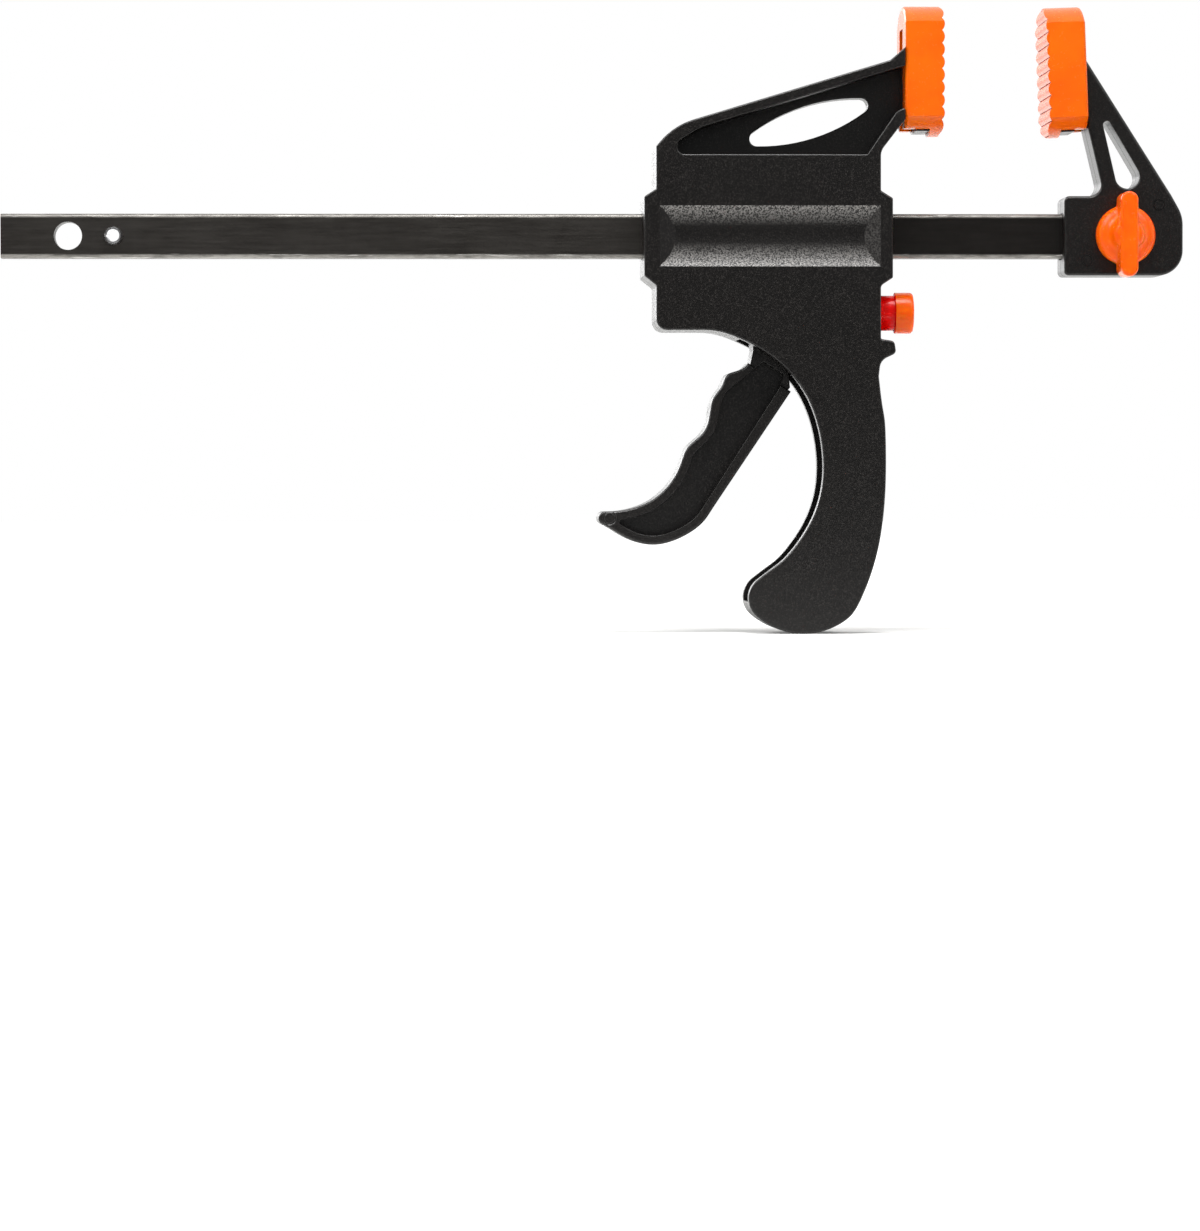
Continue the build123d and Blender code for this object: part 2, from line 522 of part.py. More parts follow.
def jaw_window():
    """Outline of the lens-shaped window through the jaw's web."""
    tip = WINDOW_LENGTH / 2
    rise = WINDOW_WIDTH / 2
    lens = make_face(Curve() + [
        ThreePointArc((-tip, 0), (0, rise), (tip, 0)),
        ThreePointArc((tip, 0), (0, -rise), (-tip, 0)),
    ])
    lens = fillet(lens.vertices(), WINDOW_END_RADIUS)
    return Pos(*WINDOW_CENTRE) * Rot(0, 0, WINDOW_SLOPE) * lens


def grip_scoop():
    """Cutter for the hollow thumb scoop over the sleeve on the -Y face, with sloped end walls."""
    radius = (SCOOP_HALF_HEIGHT**2 + SCOOP_DEPTH**2) / (2 * SCOOP_DEPTH)
    axis_y = -CASING_HALF + SCOOP_DEPTH - radius
    start = BODY_U + 0.6
    end = SIDE_U
    out = SCOOP_END_SLOPE
    ends = make_face(Polyline(
        (start - out, -CASING_HALF - SCOOP_DEPTH),
        (end + out, -CASING_HALF - SCOOP_DEPTH),
        (end - out, -CASING_HALF + SCOOP_DEPTH),
        (start + out, -CASING_HALF + SCOOP_DEPTH),
        close=True,
    ))
    slab = extrude(Pos(0, 0, -SCOOP_HALF_HEIGHT) * ends, amount=2 * SCOOP_HALF_HEIGHT, dir=(0, 0, 1))
    hollow = slab & (Pos(0, axis_y, 0) * rod_x(radius, start - out, end + out))
    return Pos(0, 0, -SCOOP_DROP) * hollow


def casing_block():
    """Outside of the casing, both halves as one body with nothing inside."""
    body = prism(casing_outline(), CASING_HALF)
    for end in (0, -1):
        rim = body.faces().sort_by(Axis.Y)[end].outer_wire().edges()
        body = fillet(rim, CASING_EDGE_RADIUS)
    field = jaw_recess()
    field_half = (CASING_HALF - JAW_WEB_THICKNESS / 2) / 2
    for side in (-1, 1):
        sunk = prism(field, field_half, side * (JAW_WEB_THICKNESS / 2 + field_half))
        body = cut_with_rim(body, sunk, CASING_HALF, RIM_RADIUS)
    body = cut_with_rim(body, prism(jaw_window(), CASING_THICKNESS), JAW_WEB_THICKNESS / 2, RIM_RADIUS)
    scoop = grip_scoop()
    body -= scoop
    body -= mirror(scoop, about=Plane.XZ)
    return body + at_moving_jaw(tongue(MOVING_NECK_TOP))


def screw_hole(place, radius, y_start, y_end):
    """Round cutter for a casing screw at one of the screw places."""
    return rod_y(radius, y_start, y_end, x=place[0], z=place[1])


def chambers():
    """Everything hollow inside the closed casing, as one cutter even about the parting plane."""
    half = CHAMBER_HALF
    drive = block(END_WALL, DRIVE_CHAMBER_END, DRIVE_CHAMBER_FLOOR, DRIVE_CHAMBER_TOP, half)
    brake = block(BRAKE_CHAMBER_START, BRAKE_CHAMBER_END, BRAKE_CHAMBER_FLOOR, BRAKE_CHAMBER_TOP, half)
    gap = BRAKE_PLATE_THICKNESS / 2 + FULCRUM_GAP
    for side in (-1, 1):
        near = BRAKE_PIVOT_U + side * gap
        far = near + side * FULCRUM_RIB
        low = BRAKE_CHAMBER_TOP - FULCRUM_DEPTH
        brake -= block(min(near, far), max(near, far), low, BRAKE_CHAMBER_TOP, CASING_THICKNESS)
    seat_low = -BUTTON_DROP - BRAKE_SEAT_HALF_HEIGHT
    seat_high = -BUTTON_DROP + BRAKE_SEAT_HALF_HEIGHT
    brake -= block(BRAKE_SEAT_U, BRAKE_SEAT_U + BRAKE_SEAT_RIB, seat_low, seat_high, CASING_THICKNESS)
    bay = prism(rounded(TRIGGER_BAY), half)
    grip = prism(rounded([(*corner, 1.0) for corner in GRIP_HOLLOW]), half)
    for place in SCREW_PLACES:
        grip -= screw_hole(place, SCREW_BOSS_RADIUS, -CASING_THICKNESS, CASING_THICKNESS)
    channel = block(-1.0, SLEEVE_END_U + 1.0, -CHANNEL_HALF_HEIGHT, CHANNEL_HALF_HEIGHT, CHANNEL_HALF_WIDTH)
    stem = rod_x(BUTTON_STEM_DIAMETER / 2 + RUNNING_CLEARANCE, BRAKE_CHAMBER_END - 1.0, SIDE_U + 1.0, -BUTTON_DROP)
    pin_half = CHAMBER_HALF + PIVOT_PIN_BITE
    pivot = rod_y(PIVOT_PIN_DIAMETER / 2, -pin_half, pin_half, x=TRIGGER_PIVOT[0], z=TRIGGER_PIVOT[1])
    return [drive, brake, bay, grip, channel, stem, pivot]


def casing_halves():
    """Front and rear casing halves, parted on Y = 0 and screwed together from the rear."""
    body = casing_block()
    for hollow in chambers():
        body -= hollow
    big = 4 * (SLEEVE_LENGTH + CASING_DEPTH)
    front = body & (Pos(0, -big / 2, 0) * Box(big, big, big))
    rear = body & (Pos(0, big / 2, 0) * Box(big, big, big))
    head_face = CASING_HALF - SCREW_HEAD_SINK
    head_seat = head_face - SCREW_HEAD_HEIGHT
    shank = SCREW_DIAMETER / 2 + RUNNING_CLEARANCE
    for place in SCREW_PLACES:
        front -= screw_hole(place, shank, head_seat - SCREW_LENGTH - SEAT_GAP, 0)
        rear -= screw_hole(place, shank, 0, CASING_THICKNESS)
        rear -= screw_hole(place, SCREW_HEAD_DIAMETER / 2 + SCREW_HEAD_CLEARANCE, head_seat, CASING_THICKNESS)
    return front, rear


def shell_screws():
    """Pan-head cross-recessed screws that hold the casing halves together."""
    head_face = CASING_HALF - SCREW_HEAD_SINK
    head_seat = head_face - SCREW_HEAD_HEIGHT
    length, width, depth = SCREW_CROSS
    screws = []
    for u, z in SCREW_PLACES:
        head = rod_y(SCREW_HEAD_DIAMETER / 2, head_seat, head_face)
        head = fillet(head.faces().sort_by(Axis.Y)[-1].edges(), SCREW_HEAD_HEIGHT / 3)
        screw = head + rod_y(SCREW_DIAMETER / 2, head_seat - SCREW_LENGTH, head_seat)
        for size in ((length, width), (width, length)):
            screw -= Pos(0, head_face, 0) * Box(size[0], 2 * depth, size[1])
        screws.append(Pos(CARRIAGE_X + u, 0, z) * screw)
    return Compound(children=screws)


# ---- trigger --------------------------------------------------------------------------------------------
def beside(curve, distance, start, end, count=12):
    """Smooth curve that runs at a distance to the left of another, between two fractions of it."""
    points = []
    for index in range(count):
        place = start + (end - start) * index / (count - 1)
        along = curve % place
        points.append(curve @ place + Vector(-along.Y, along.X) * distance)
    return Spline(*points)


def trigger_blade():
    """Outline of the trigger's visible blade, and of the pocket sunk in each face of blade and neck."""
    scallops = Spline(*TRIGGER_SCALLOPS)
    tip = TangentArc(scallops @ 1, TRIGGER_TIP_END, tangent=scallops % 1)
    spine = (TRIGGER_SHOULDER[0] - TRIGGER_SOLE[-1][0], TRIGGER_SHOULDER[1] - TRIGGER_SOLE[-1][1])
    sole = Spline(tip @ 1, *TRIGGER_SOLE, tangents=(tip % 1, spine))
    back = Line(sole @ 1, TRIGGER_SHOULDER)
    shoulder = Line(back @ 1, scallops @ 0)
    blade = make_face(Curve() + [scallops, tip, sole, back, shoulder])
    rim = TRIGGER_RIM
    tip_solid = TRIGGER_TIP_SOLID
    inner_front = beside(scallops, rim, TRIGGER_POCKET_START / scallops.length, 1 - tip_solid / scallops.length)
    inner_sole = beside(sole, rim, tip_solid / sole.length, 1)
    pocket = make_face(Curve() + [
        inner_front,
        Line(inner_front @ 1, inner_sole @ 0),
        inner_sole,
        Polyline(inner_sole @ 1, *TRIGGER_POCKET_TOP, inner_front @ 0),
    ])
    return blade, pocket


def trigger():
    """Trigger: ribbed blade, narrower neck into the casing, pivot boss and pusher arm."""
    blade, pocket = trigger_blade()
    body = prism(blade, TRIGGER_WIDTH / 2)
    for end in (0, -1):
        rim = body.faces().sort_by(Axis.Y)[end].outer_wire().edges()
        body = fillet(rim, TRIGGER_EDGE_RADIUS)
    body += prism(rounded(TRIGGER_NECK), TRIGGER_NECK_WIDTH / 2)
    depth = (TRIGGER_WIDTH - TRIGGER_WEB) / 2
    for side in (-1, 1):
        body -= prism(pocket, depth / 2, side * (TRIGGER_WEB + depth) / 2)
    pivot_u, pivot_z = TRIGGER_PIVOT
    boss = rod_y(TRIGGER_BOSS_RADIUS, -TRIGGER_WIDTH / 2, TRIGGER_WIDTH / 2, x=pivot_u, z=pivot_z)
    arm = Pos(0, 0, TRIGGER_ARM / 2) * Box(TRIGGER_ARM_THICKNESS, TRIGGER_ARM_WIDTH, TRIGGER_ARM)
    arm += rod_y(TRIGGER_NOSE_RADIUS, -TRIGGER_ARM_WIDTH / 2, TRIGGER_ARM_WIDTH / 2, z=TRIGGER_ARM)
    arm = Pos(pivot_u, 0, pivot_z) * Rot(0, TRIGGER_STROKE / 2, 0) * arm
    body = body + boss + arm
    bore = PIVOT_PIN_DIAMETER / 2 + RUNNING_CLEARANCE
    body -= rod_y(bore, -TRIGGER_WIDTH, TRIGGER_WIDTH, x=pivot_u, z=pivot_z)
    return Pos(CARRIAGE_X, 0, 0) * body


def trigger_pivot_pin():
    """Steel pin carried in both casing halves, on which the trigger turns."""
    half = CHAMBER_HALF + PIVOT_PIN_BITE
    u, z = TRIGGER_PIVOT
    return rod_y(PIVOT_PIN_DIAMETER / 2, -half, half, x=CARRIAGE_X + u, z=z)


# ---- clamping plates, springs and button --------------------------------------------------------------------
def drive_plate(index):
    """One of the stacked steel plates that the trigger's nose pushes along the bar."""
    start = DRIVE_STACK_U + index * DRIVE_PLATE_THICKNESS
    end = start + DRIVE_PLATE_THICKNESS
    plate = block(start, end, -DRIVE_PLATE_BOTTOM, DRIVE_PLATE_TOP, DRIVE_PLATE_WIDTH / 2)
    plate -= block(start - 1, end + 1, -BAR_HEIGHT / 2 - PLATE_CLEARANCE, BAR_HEIGHT / 2 + PLATE_CLEARANCE,
                   BAR_THICKNESS / 2 + PLATE_CLEARANCE)
    return Pos(CARRIAGE_X, 0, 0) * plate


def drive_spring():
    """Coil spring round the bar, from the casing's end wall to the drive plates."""
    outer = CHAMBER_HALF - SIDE_CLEARANCE
    start = CARRIAGE_X + END_WALL + SEAT_GAP
    end = CARRIAGE_X + DRIVE_STACK_U - SEAT_GAP
    return coil_x(DRIVE_SPRING_WIRE, outer - DRIVE_SPRING_WIRE / 2, DRIVE_SPRING_TURNS, start, end)


def brake_plate():
    """Steel locking plate, leaning so that its hole bites on the bar; it rocks on its top end."""
    height = BRAKE_PIVOT_RISE + BRAKE_PLATE_BOTTOM
    half = BRAKE_PLATE_THICKNESS / 2
    plate = block(-half, half, -height, BRAKE_PLATE_TOP, BRAKE_PLATE_WIDTH / 2)
    low = -BRAKE_PIVOT_RISE - BRAKE_HOLE_HEIGHT / 2
    plate -= block(-half - 1, half + 1, low, low + BRAKE_HOLE_HEIGHT, BAR_THICKNESS / 2 + PLATE_CLEARANCE)
    return Pos(CARRIAGE_X + BRAKE_PIVOT_U, 0, BRAKE_PIVOT_Z) * Rot(0, -BRAKE_TILT, 0) * plate


def brake_spring():
    """Small coil spring that leans the brake plate over, in line with the release button."""
    upper = BRAKE_PIVOT_Z + BUTTON_DROP - BRAKE_SPRING_DIAMETER / 2
    face = BRAKE_PIVOT_U + upper * tan(TILT) - BRAKE_PLATE_THICKNESS / 2 / cos(TILT)
    start = CARRIAGE_X + BRAKE_SEAT_U + BRAKE_SEAT_RIB + SEAT_GAP
    mean = (BRAKE_SPRING_DIAMETER - BRAKE_SPRING_WIRE) / 2
    return coil_x(BRAKE_SPRING_WIRE, mean, BRAKE_SPRING_TURNS, start, CARRIAGE_X + face - SEAT_GAP, -BUTTON_DROP)


def release_button():
    """Push button: round cap, stem through the casing wall, retaining flange and round nose."""
    cap = rod_x(BUTTON_CAP_DIAMETER / 2, CAP_U, CAP_U + BUTTON_CAP_LENGTH)
    cap = fillet(cap.faces().sort_by(Axis.X)[-1].edges(), BUTTON_CAP_RADIUS)
    stem = rod_x(BUTTON_STEM_DIAMETER / 2, BRAKE_CHAMBER_END - 2 * SEAT_GAP, CAP_U + BUTTON_CAP_LENGTH / 2)
    flange_end = BRAKE_CHAMBER_END - SEAT_GAP
    flange = rod_x(BUTTON_FLANGE_DIAMETER / 2, flange_end - BUTTON_FLANGE_THICKNESS, flange_end)
    nose_radius = BUTTON_NOSE_DIAMETER / 2
    nose = rod_x(nose_radius, BUTTON_NOSE_U, flange_end)
    ball = Pos(BUTTON_NOSE_U, 0, 0) * Sphere(nose_radius)
    return Pos(CARRIAGE_X, 0, -BUTTON_DROP) * (cap + stem + flange + nose + ball)


# ---- all nodes ----------------------------------------------------------------------------------------------
def nodes():
    """Every node of the clamp by name, in its place."""
    front, rear = casing_halves()
    placed_pad = Pos(FIXED_JAW_X, 0, 0) * at_fixed_jaw(pad())
    made = {
        "bar": bar(),
        "bar_stop_pin": bar_stop_pin(),
        "fixed_jaw": fixed_jaw(),
        "fixed_jaw_pad": placed_pad,
        "lock_knob": lock_knob(),
        "lock_stud": lock_stud(),
        "lock_nut": lock_nut(),
        "body_front_shell": Pos(CARRIAGE_X, 0, 0) * front,
        "body_rear_shell": Pos(CARRIAGE_X, 0, 0) * rear,
        "shell_screws": shell_screws(),
        "moving_jaw_pad": Pos(CARRIAGE_X, 0, 0) * at_moving_jaw(pad()),
        "trigger": trigger(),
        "trigger_pivot_pin": trigger_pivot_pin(),
        "drive_spring": drive_spring(),
        "brake_plate": brake_plate(),
        "brake_spring": brake_spring(),
        "release_button": release_button(),
    }
    for index in range(DRIVE_PLATE_COUNT):
        made[f"drive_plate_{index + 1}"] = drive_plate(index)
    return made


os.makedirs("parts", exist_ok=True)
for name, shape in nodes().items():
    export_step(shape, f"parts/{name}.step")
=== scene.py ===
"""Looks of a quick release bar clamp: finishes, moulded and threaded details, studio and camera."""

import json
import math

import bmesh
import bpy
from mathutils import Matrix, Vector
from mathutils.bvhtree import BVHTree


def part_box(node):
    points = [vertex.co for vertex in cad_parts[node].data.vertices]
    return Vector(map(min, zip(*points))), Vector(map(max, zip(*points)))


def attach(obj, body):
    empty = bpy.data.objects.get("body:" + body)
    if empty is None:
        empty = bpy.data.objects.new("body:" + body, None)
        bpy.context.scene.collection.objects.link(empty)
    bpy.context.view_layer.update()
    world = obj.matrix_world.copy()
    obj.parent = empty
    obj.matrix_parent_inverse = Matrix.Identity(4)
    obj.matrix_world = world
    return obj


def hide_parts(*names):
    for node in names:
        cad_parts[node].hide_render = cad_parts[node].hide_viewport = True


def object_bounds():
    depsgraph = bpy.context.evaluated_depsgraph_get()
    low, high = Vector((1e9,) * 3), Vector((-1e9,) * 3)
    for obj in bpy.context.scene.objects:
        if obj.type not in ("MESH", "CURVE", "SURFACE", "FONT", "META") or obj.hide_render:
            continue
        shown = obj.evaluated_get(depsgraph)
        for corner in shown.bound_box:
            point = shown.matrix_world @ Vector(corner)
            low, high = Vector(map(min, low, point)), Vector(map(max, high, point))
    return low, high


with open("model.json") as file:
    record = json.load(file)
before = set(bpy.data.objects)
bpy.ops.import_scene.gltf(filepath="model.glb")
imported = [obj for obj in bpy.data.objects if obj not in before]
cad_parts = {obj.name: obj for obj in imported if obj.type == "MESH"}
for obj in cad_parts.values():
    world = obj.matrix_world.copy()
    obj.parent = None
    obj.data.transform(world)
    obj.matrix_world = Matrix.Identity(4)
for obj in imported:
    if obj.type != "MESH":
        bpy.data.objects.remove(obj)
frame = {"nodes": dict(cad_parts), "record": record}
cad_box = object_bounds()

MM = 0.001
DOUBLES = 0.005  # mm; corners of a solid's mesh that lie closer than this are one corner
HAIR = 0.002  # mm; the same for newly turned pieces, and the slack of a flat face

# ---- camera ----------------------------------------------------------------------------------
SENSOR = 36.0  # mm along the longer side
CAMERA_LENS = 151.49  # mm
CAMERA_PLACE = (56.4, -870.0, -42.4)  # mm
CAMERA_YAW = math.radians(-2.132)
CAMERA_PITCH = math.radians(-1.395)
CAMERA_ROLL = math.radians(-0.08)

# ---- thumb scoop, in mm ----------------------------------------------------------------------
CASING_HALF = 8.25
SCOOP_HALF_HEIGHT = 5.1
SCOOP_DEPTH = 1.35
SCOOP_RADIUS = (SCOOP_HALF_HEIGHT ** 2 + SCOOP_DEPTH ** 2) / (2 * SCOOP_DEPTH)
SCOOP_DROP = 0.25  # bar centreline to the scoop's middle
SCOOP_MIDDLE = 117.0
SCOOP_HALF_LENGTH = 18.5
SCOOP_END = 3.5  # length of each sloping end
SCOOP_SLACK = 0.05

# ---- release button, in mm -------------------------------------------------------------------
BUTTON_STEM = (130.0, 138.42)  # where the stem starts and where the cap does, in X

# ---- studio ----------------------------------------------------------------------------------
FLOOR_HALF = 3.0  # metres
FLOOR_MIDDLE = 0.1  # metres in X
FLOOR_COLOUR = "F2F2F0"
FLOOR_GLOW = 0.12  # lifts the floor near the clamp towards the white of the backdrop
FLOOR_CLEAR = (0.35, 0.9)  # metres from the clamp where the floor fades to plain white
FLOOR_FRONT = (-0.2, 0.05)  # metres in Y where the floor brightens, as gloss shows it
ROOM_GLOSS = 0.06  # the room on the camera's side, as gloss shows it
ROOM_EDGE = (-0.75, -0.05)  # Y of the directions where the room gives way to the backdrop
BACKDROP_FILL = 0.25  # the backdrop's light on matt surfaces
LAMP_AIM = (100.0, 0.0, 0.0)  # mm
LAMPS = (  # name, place and side in mm, watts
    ("key_high_left", (-480.0, -380.0, 640.0), 450.0, 4.2),
    ("top_strip", (90.0, -240.0, 700.0), 300.0, 4.8),
    ("fill_right", (560.0, -450.0, 620.0), 500.0, 2.6),
    ("rim_back_left", (-450.0, 850.0, 350.0), 700.0, 10.5),
)


# ---- material tools --------------------------------------------------------------------------
def linear(code):
    """Linear colour of an sRGB hex value."""
    parts = [int(code[i:i + 2], 16) / 255 for i in (0, 2, 4)]
    return tuple(c / 12.92 if c <= 0.04045 else ((c + 0.055) / 1.055) ** 2.4 for c in parts) + (1.0,)


def per(size_mm):
    """Texture scale for a pattern of the given size."""
    return 1.0 / (size_mm * MM)


def new_material(name):
    """Material with an empty node tree."""
    made = bpy.data.materials.new(name)
    made.use_nodes = True
    made.node_tree.nodes.clear()
    return made, made.node_tree


def add(tree, kind, inputs=(), **settings):
    """Add a node with its settings and inputs. The inputs are given in order, or by name or number.
    A number or colour is set, a socket is linked, and a node is linked from its first result."""
    node = tree.nodes.new("ShaderNode" + kind)
    for name, value in settings.items():
        setattr(node, name, value)
    for key, value in inputs.items() if isinstance(inputs, dict) else enumerate(inputs):
        if isinstance(value, bpy.types.Node):
            value = next(socket for socket in value.outputs if socket.enabled)
        if isinstance(value, bpy.types.NodeSocket):
            tree.links.new(value, node.inputs[key])
        else:
            node.inputs[key].default_value = value
    return node


def band(tree, value, centre_mm, half_mm, soft_mm):
    """Mask that is 1 within half of a centre and falls to 0 over the soft width beyond."""
    off = add(tree, "Math", (value, centre_mm * MM), operation="SUBTRACT")
    off = add(tree, "Math", (off,), operation="ABSOLUTE")
    return add(tree, "MapRange", (off, half_mm * MM, (half_mm + soft_mm) * MM, 1.0, 0.0))


def drift(tree, patches, first, second):
    """Two close tones that drift into each other with a noise."""
    share = add(tree, "MapRange", (patches, 0.3, 0.7))
    return add(tree, "Mix", {0: share, 6: linear(first), 7: linear(second)}, data_type="RGBA")


# ---- finishes --------------------------------------------------------------------------------
def scoop_with_painted_light(tree, where, colour, normal):
    """Colour and relief of the casing with its thumb scoop: a coarser grain, whose tips are painted
    pale towards the bed's two long edges and on the right-hand end, as painted light where these
    face the lamps. The grain is drawn half as coarse again as it is, so that it shows."""
    x, y, z = add(tree, "SeparateXYZ", (where,)).outputs
    height = add(tree, "Math", (z, SCOOP_DROP * MM), operation="ADD")
    depth = add(tree, "Math", (y,), operation="ABSOLUTE")
    depth = add(tree, "Math", (CASING_HALF * MM, depth), operation="SUBTRACT")

    # everything below the casing's face and within the scoop's outline
    sunk = add(tree, "MapRange", (depth, 0.01 * MM, 0.05 * MM))
    tall = band(tree, height, 0.0, SCOOP_HALF_HEIGHT + SCOOP_SLACK, 0.05)
    sunk = add(tree, "Math", (sunk, tall), operation="MULTIPLY")
    wide = band(tree, x, SCOOP_MIDDLE, SCOOP_HALF_LENGTH, 0.1)
    sunk = add(tree, "Math", (sunk, wide), operation="MULTIPLY")

    # the round bed, told from the sloping ends by its depth at each height
    bed = add(tree, "Math", (height, height), operation="MULTIPLY")
    bed = add(tree, "Math", ((SCOOP_RADIUS * MM) ** 2, bed), operation="SUBTRACT")
    bed = add(tree, "Math", (bed,), operation="SQRT")
    bed = add(tree, "Math", (bed, (SCOOP_RADIUS - SCOOP_DEPTH) * MM), operation="SUBTRACT")
    short = add(tree, "Math", (bed, depth), operation="SUBTRACT")
    on_bed = add(tree, "MapRange", (short, 0.06 * MM, 0.1 * MM, 1.0, 0.0))

    # painted light: grain tips paler towards the bed's long edges, where its curve faces the lamps, and
    # on the right-hand sloping end, which faces the light
    above = add(tree, "MapRange", (height, 1.8 * MM, 5.0 * MM))
    below = add(tree, "MapRange", (height, -1.0 * MM, -4.9 * MM, 0.0, 0.9))
    painted_bed_light = add(tree, "Math", (above, below), operation="ADD")
    right_end = add(tree, "MapRange", (x, 110.0 * MM, 111.0 * MM, 0.0, 0.16))
    painted_light = add(tree, "Mix", {0: on_bed, 2: right_end, 3: painted_bed_light})

    coarse = add(tree, "TexNoise", {"Vector": where, "Scale": per(0.27), "Roughness": 0.6})
    tips = add(tree, "MapRange", (coarse, 0.42, 0.58))
    tips = add(tree, "Math", (painted_light, tips), operation="MULTIPLY")
    tips = add(tree, "Math", (tips, sunk), operation="MULTIPLY")
    colour = add(tree, "Mix", {0: tips, 6: colour, 7: linear("8C8986")}, data_type="RGBA")
    relief = add(tree, "MapRange", (on_bed, 0.0, 1.0, 0.15, 0.7))
    relief = add(tree, "Math", (sunk, relief), operation="MULTIPLY")
    normal = add(tree, "Bump", {"Height": coarse, "Distance": 0.08 * MM, "Strength": relief,
                                "Normal": normal})
    return colour, normal


def glass_filled_nylon(name, scoop=False, marks=()):
    """Glass-filled nylon from a spark-eroded mould: near black, with a fine satin grain whose tips
    glint, faint rings where ejector pins stood (x, z and radius in mm), and a thin dark line where
    the halves part. The grain is drawn half as coarse again as it is, so that it shows."""
    made, tree = new_material(name)
    where = add(tree, "TexCoord").outputs["Object"]
    grain = add(tree, "TexNoise", {"Vector": where, "Scale": per(0.24), "Detail": 3.0, "Roughness": 0.6})
    patches = add(tree, "TexNoise", {"Vector": where, "Scale": per(9.0)})
    colour = drift(tree, patches, "070504", "0A0706")
    tips = add(tree, "MapRange", (grain, 0.52, 0.68))
    colour = add(tree, "Mix", {0: tips, 6: colour, 7: linear("272422")}, data_type="RGBA")
    normal = add(tree, "Bump", {"Height": grain, "Distance": 0.04 * MM, "Strength": 0.7})
    if scoop:
        colour, normal = scoop_with_painted_light(tree, where, colour, normal)
    for mark_x, mark_z, radius in marks:
        off = add(tree, "VectorMath", (where, (1.0, 0.0, 1.0), (-mark_x * MM, 0.0, -mark_z * MM)),
                  operation="MULTIPLY_ADD")
        ring = band(tree, add(tree, "VectorMath", (off,), operation="LENGTH"), radius, 0.1, 0.12)
        normal = add(tree, "Bump", {"Height": ring, "Distance": -0.1 * MM, "Normal": normal})
    across = add(tree, "SeparateXYZ", (where,)).outputs["Y"]
    seam = band(tree, across, 0.0, 0.1, 0.06)
    colour = add(tree, "Mix", {0: seam, 6: colour, 7: linear("030303")}, data_type="RGBA")
    rough = add(tree, "MapRange", (grain, 0.3, 0.7, 0.28, 0.38))
    rough = add(tree, "Math", (rough, seam), operation="MAXIMUM")
    shader = add(tree, "BsdfPrincipled", {"Base Color": colour, "Roughness": rough, "IOR": 1.53,
                                          "Normal": normal})
    add(tree, "OutputMaterial", (shader,))
    return made


def soft_orange_rubber():
    """Thermoplastic rubber, injection moulded: even orange, soft satin sheen, faint orange-peel and
    a matt brown line of painted shade along the valleys between the teeth."""
    made, tree = new_material("Thermoplastic_rubber_moulded")
    where = add(tree, "TexCoord").outputs["Object"]
    # painted shade: a brown, matt line along the valleys of the teeth
    valley_shade = add(tree, "Attribute", attribute_name="valley").outputs["Fac"]
    valley_shade = add(tree, "MapRange", (valley_shade, 0.3, 0.7))
    peel = add(tree, "TexNoise", {"Vector": where, "Scale": per(0.5)})
    patches = add(tree, "TexNoise", {"Vector": where, "Scale": per(6.0)})
    colour = drift(tree, patches, "E25A00", "E66400")
    colour = add(tree, "Mix", {0: valley_shade, 6: colour, 7: linear("7A2C08")}, data_type="RGBA")
    rough = add(tree, "MapRange", (peel, 0.3, 0.7, 0.2, 0.28))
    rough = add(tree, "Math", (rough, valley_shade), operation="MAXIMUM")
    normal = add(tree, "Bump", {"Height": peel, "Distance": 0.02 * MM, "Strength": 0.5})
    shader = add(tree, "BsdfPrincipled", {"Base Color": colour, "Roughness": rough, "IOR": 1.5,
                                          "Specular IOR Level": 0.3, "Subsurface Weight": 0.12,
                                          "Subsurface Radius": (1.0, 0.15, 0.05),
                                          "Subsurface Scale": 1.0 * MM, "Normal": normal})
    add(tree, "OutputMaterial", (shader,))
    return made


def orange_polypropylene(name, painted_shade_stem=None):
    """Polypropylene, injection moulded and smooth: saturated orange with a clear soft gloss. Between
    the two x values of a stem, in mm, the orange is painted a deeper red, as painted shade in the
    narrow gap where the stem sits."""
    made, tree = new_material(name)
    where = add(tree, "TexCoord").outputs["Object"]
    peel = add(tree, "TexNoise", {"Vector": where, "Scale": per(0.7)})
    patches = add(tree, "TexNoise", {"Vector": where, "Scale": per(4.0), "Detail": 1.0})
    colour = drift(tree, patches, "EE5800", "F26400")
    # painted shade: the stem, sunk between the casing and the cap, is coloured a deeper red
    if painted_shade_stem:
        start, end = painted_shade_stem
        along = add(tree, "SeparateXYZ", (where,)).outputs["X"]
        inside = band(tree, along, (start + end) / 2, (end - start) / 2, 0.05)
        colour = add(tree, "Mix", {0: inside, 6: colour, 7: linear("F50300")}, data_type="RGBA")
    rough = add(tree, "MapRange", (peel, 0.3, 0.7, 0.18, 0.28))
    normal = add(tree, "Bump", {"Height": peel, "Distance": 0.02 * MM, "Strength": 0.5})
    shader = add(tree, "BsdfPrincipled", {"Base Color": colour, "Roughness": rough, "IOR": 1.49,
                                          "Specular IOR Level": 0.3, "Subsurface Weight": 0.6,
                                          "Subsurface Radius": (1.0, 0.15, 0.05),
                                          "Subsurface Scale": 1.2 * MM, "Normal": normal})
    add(tree, "OutputMaterial", (shader,))
    return made


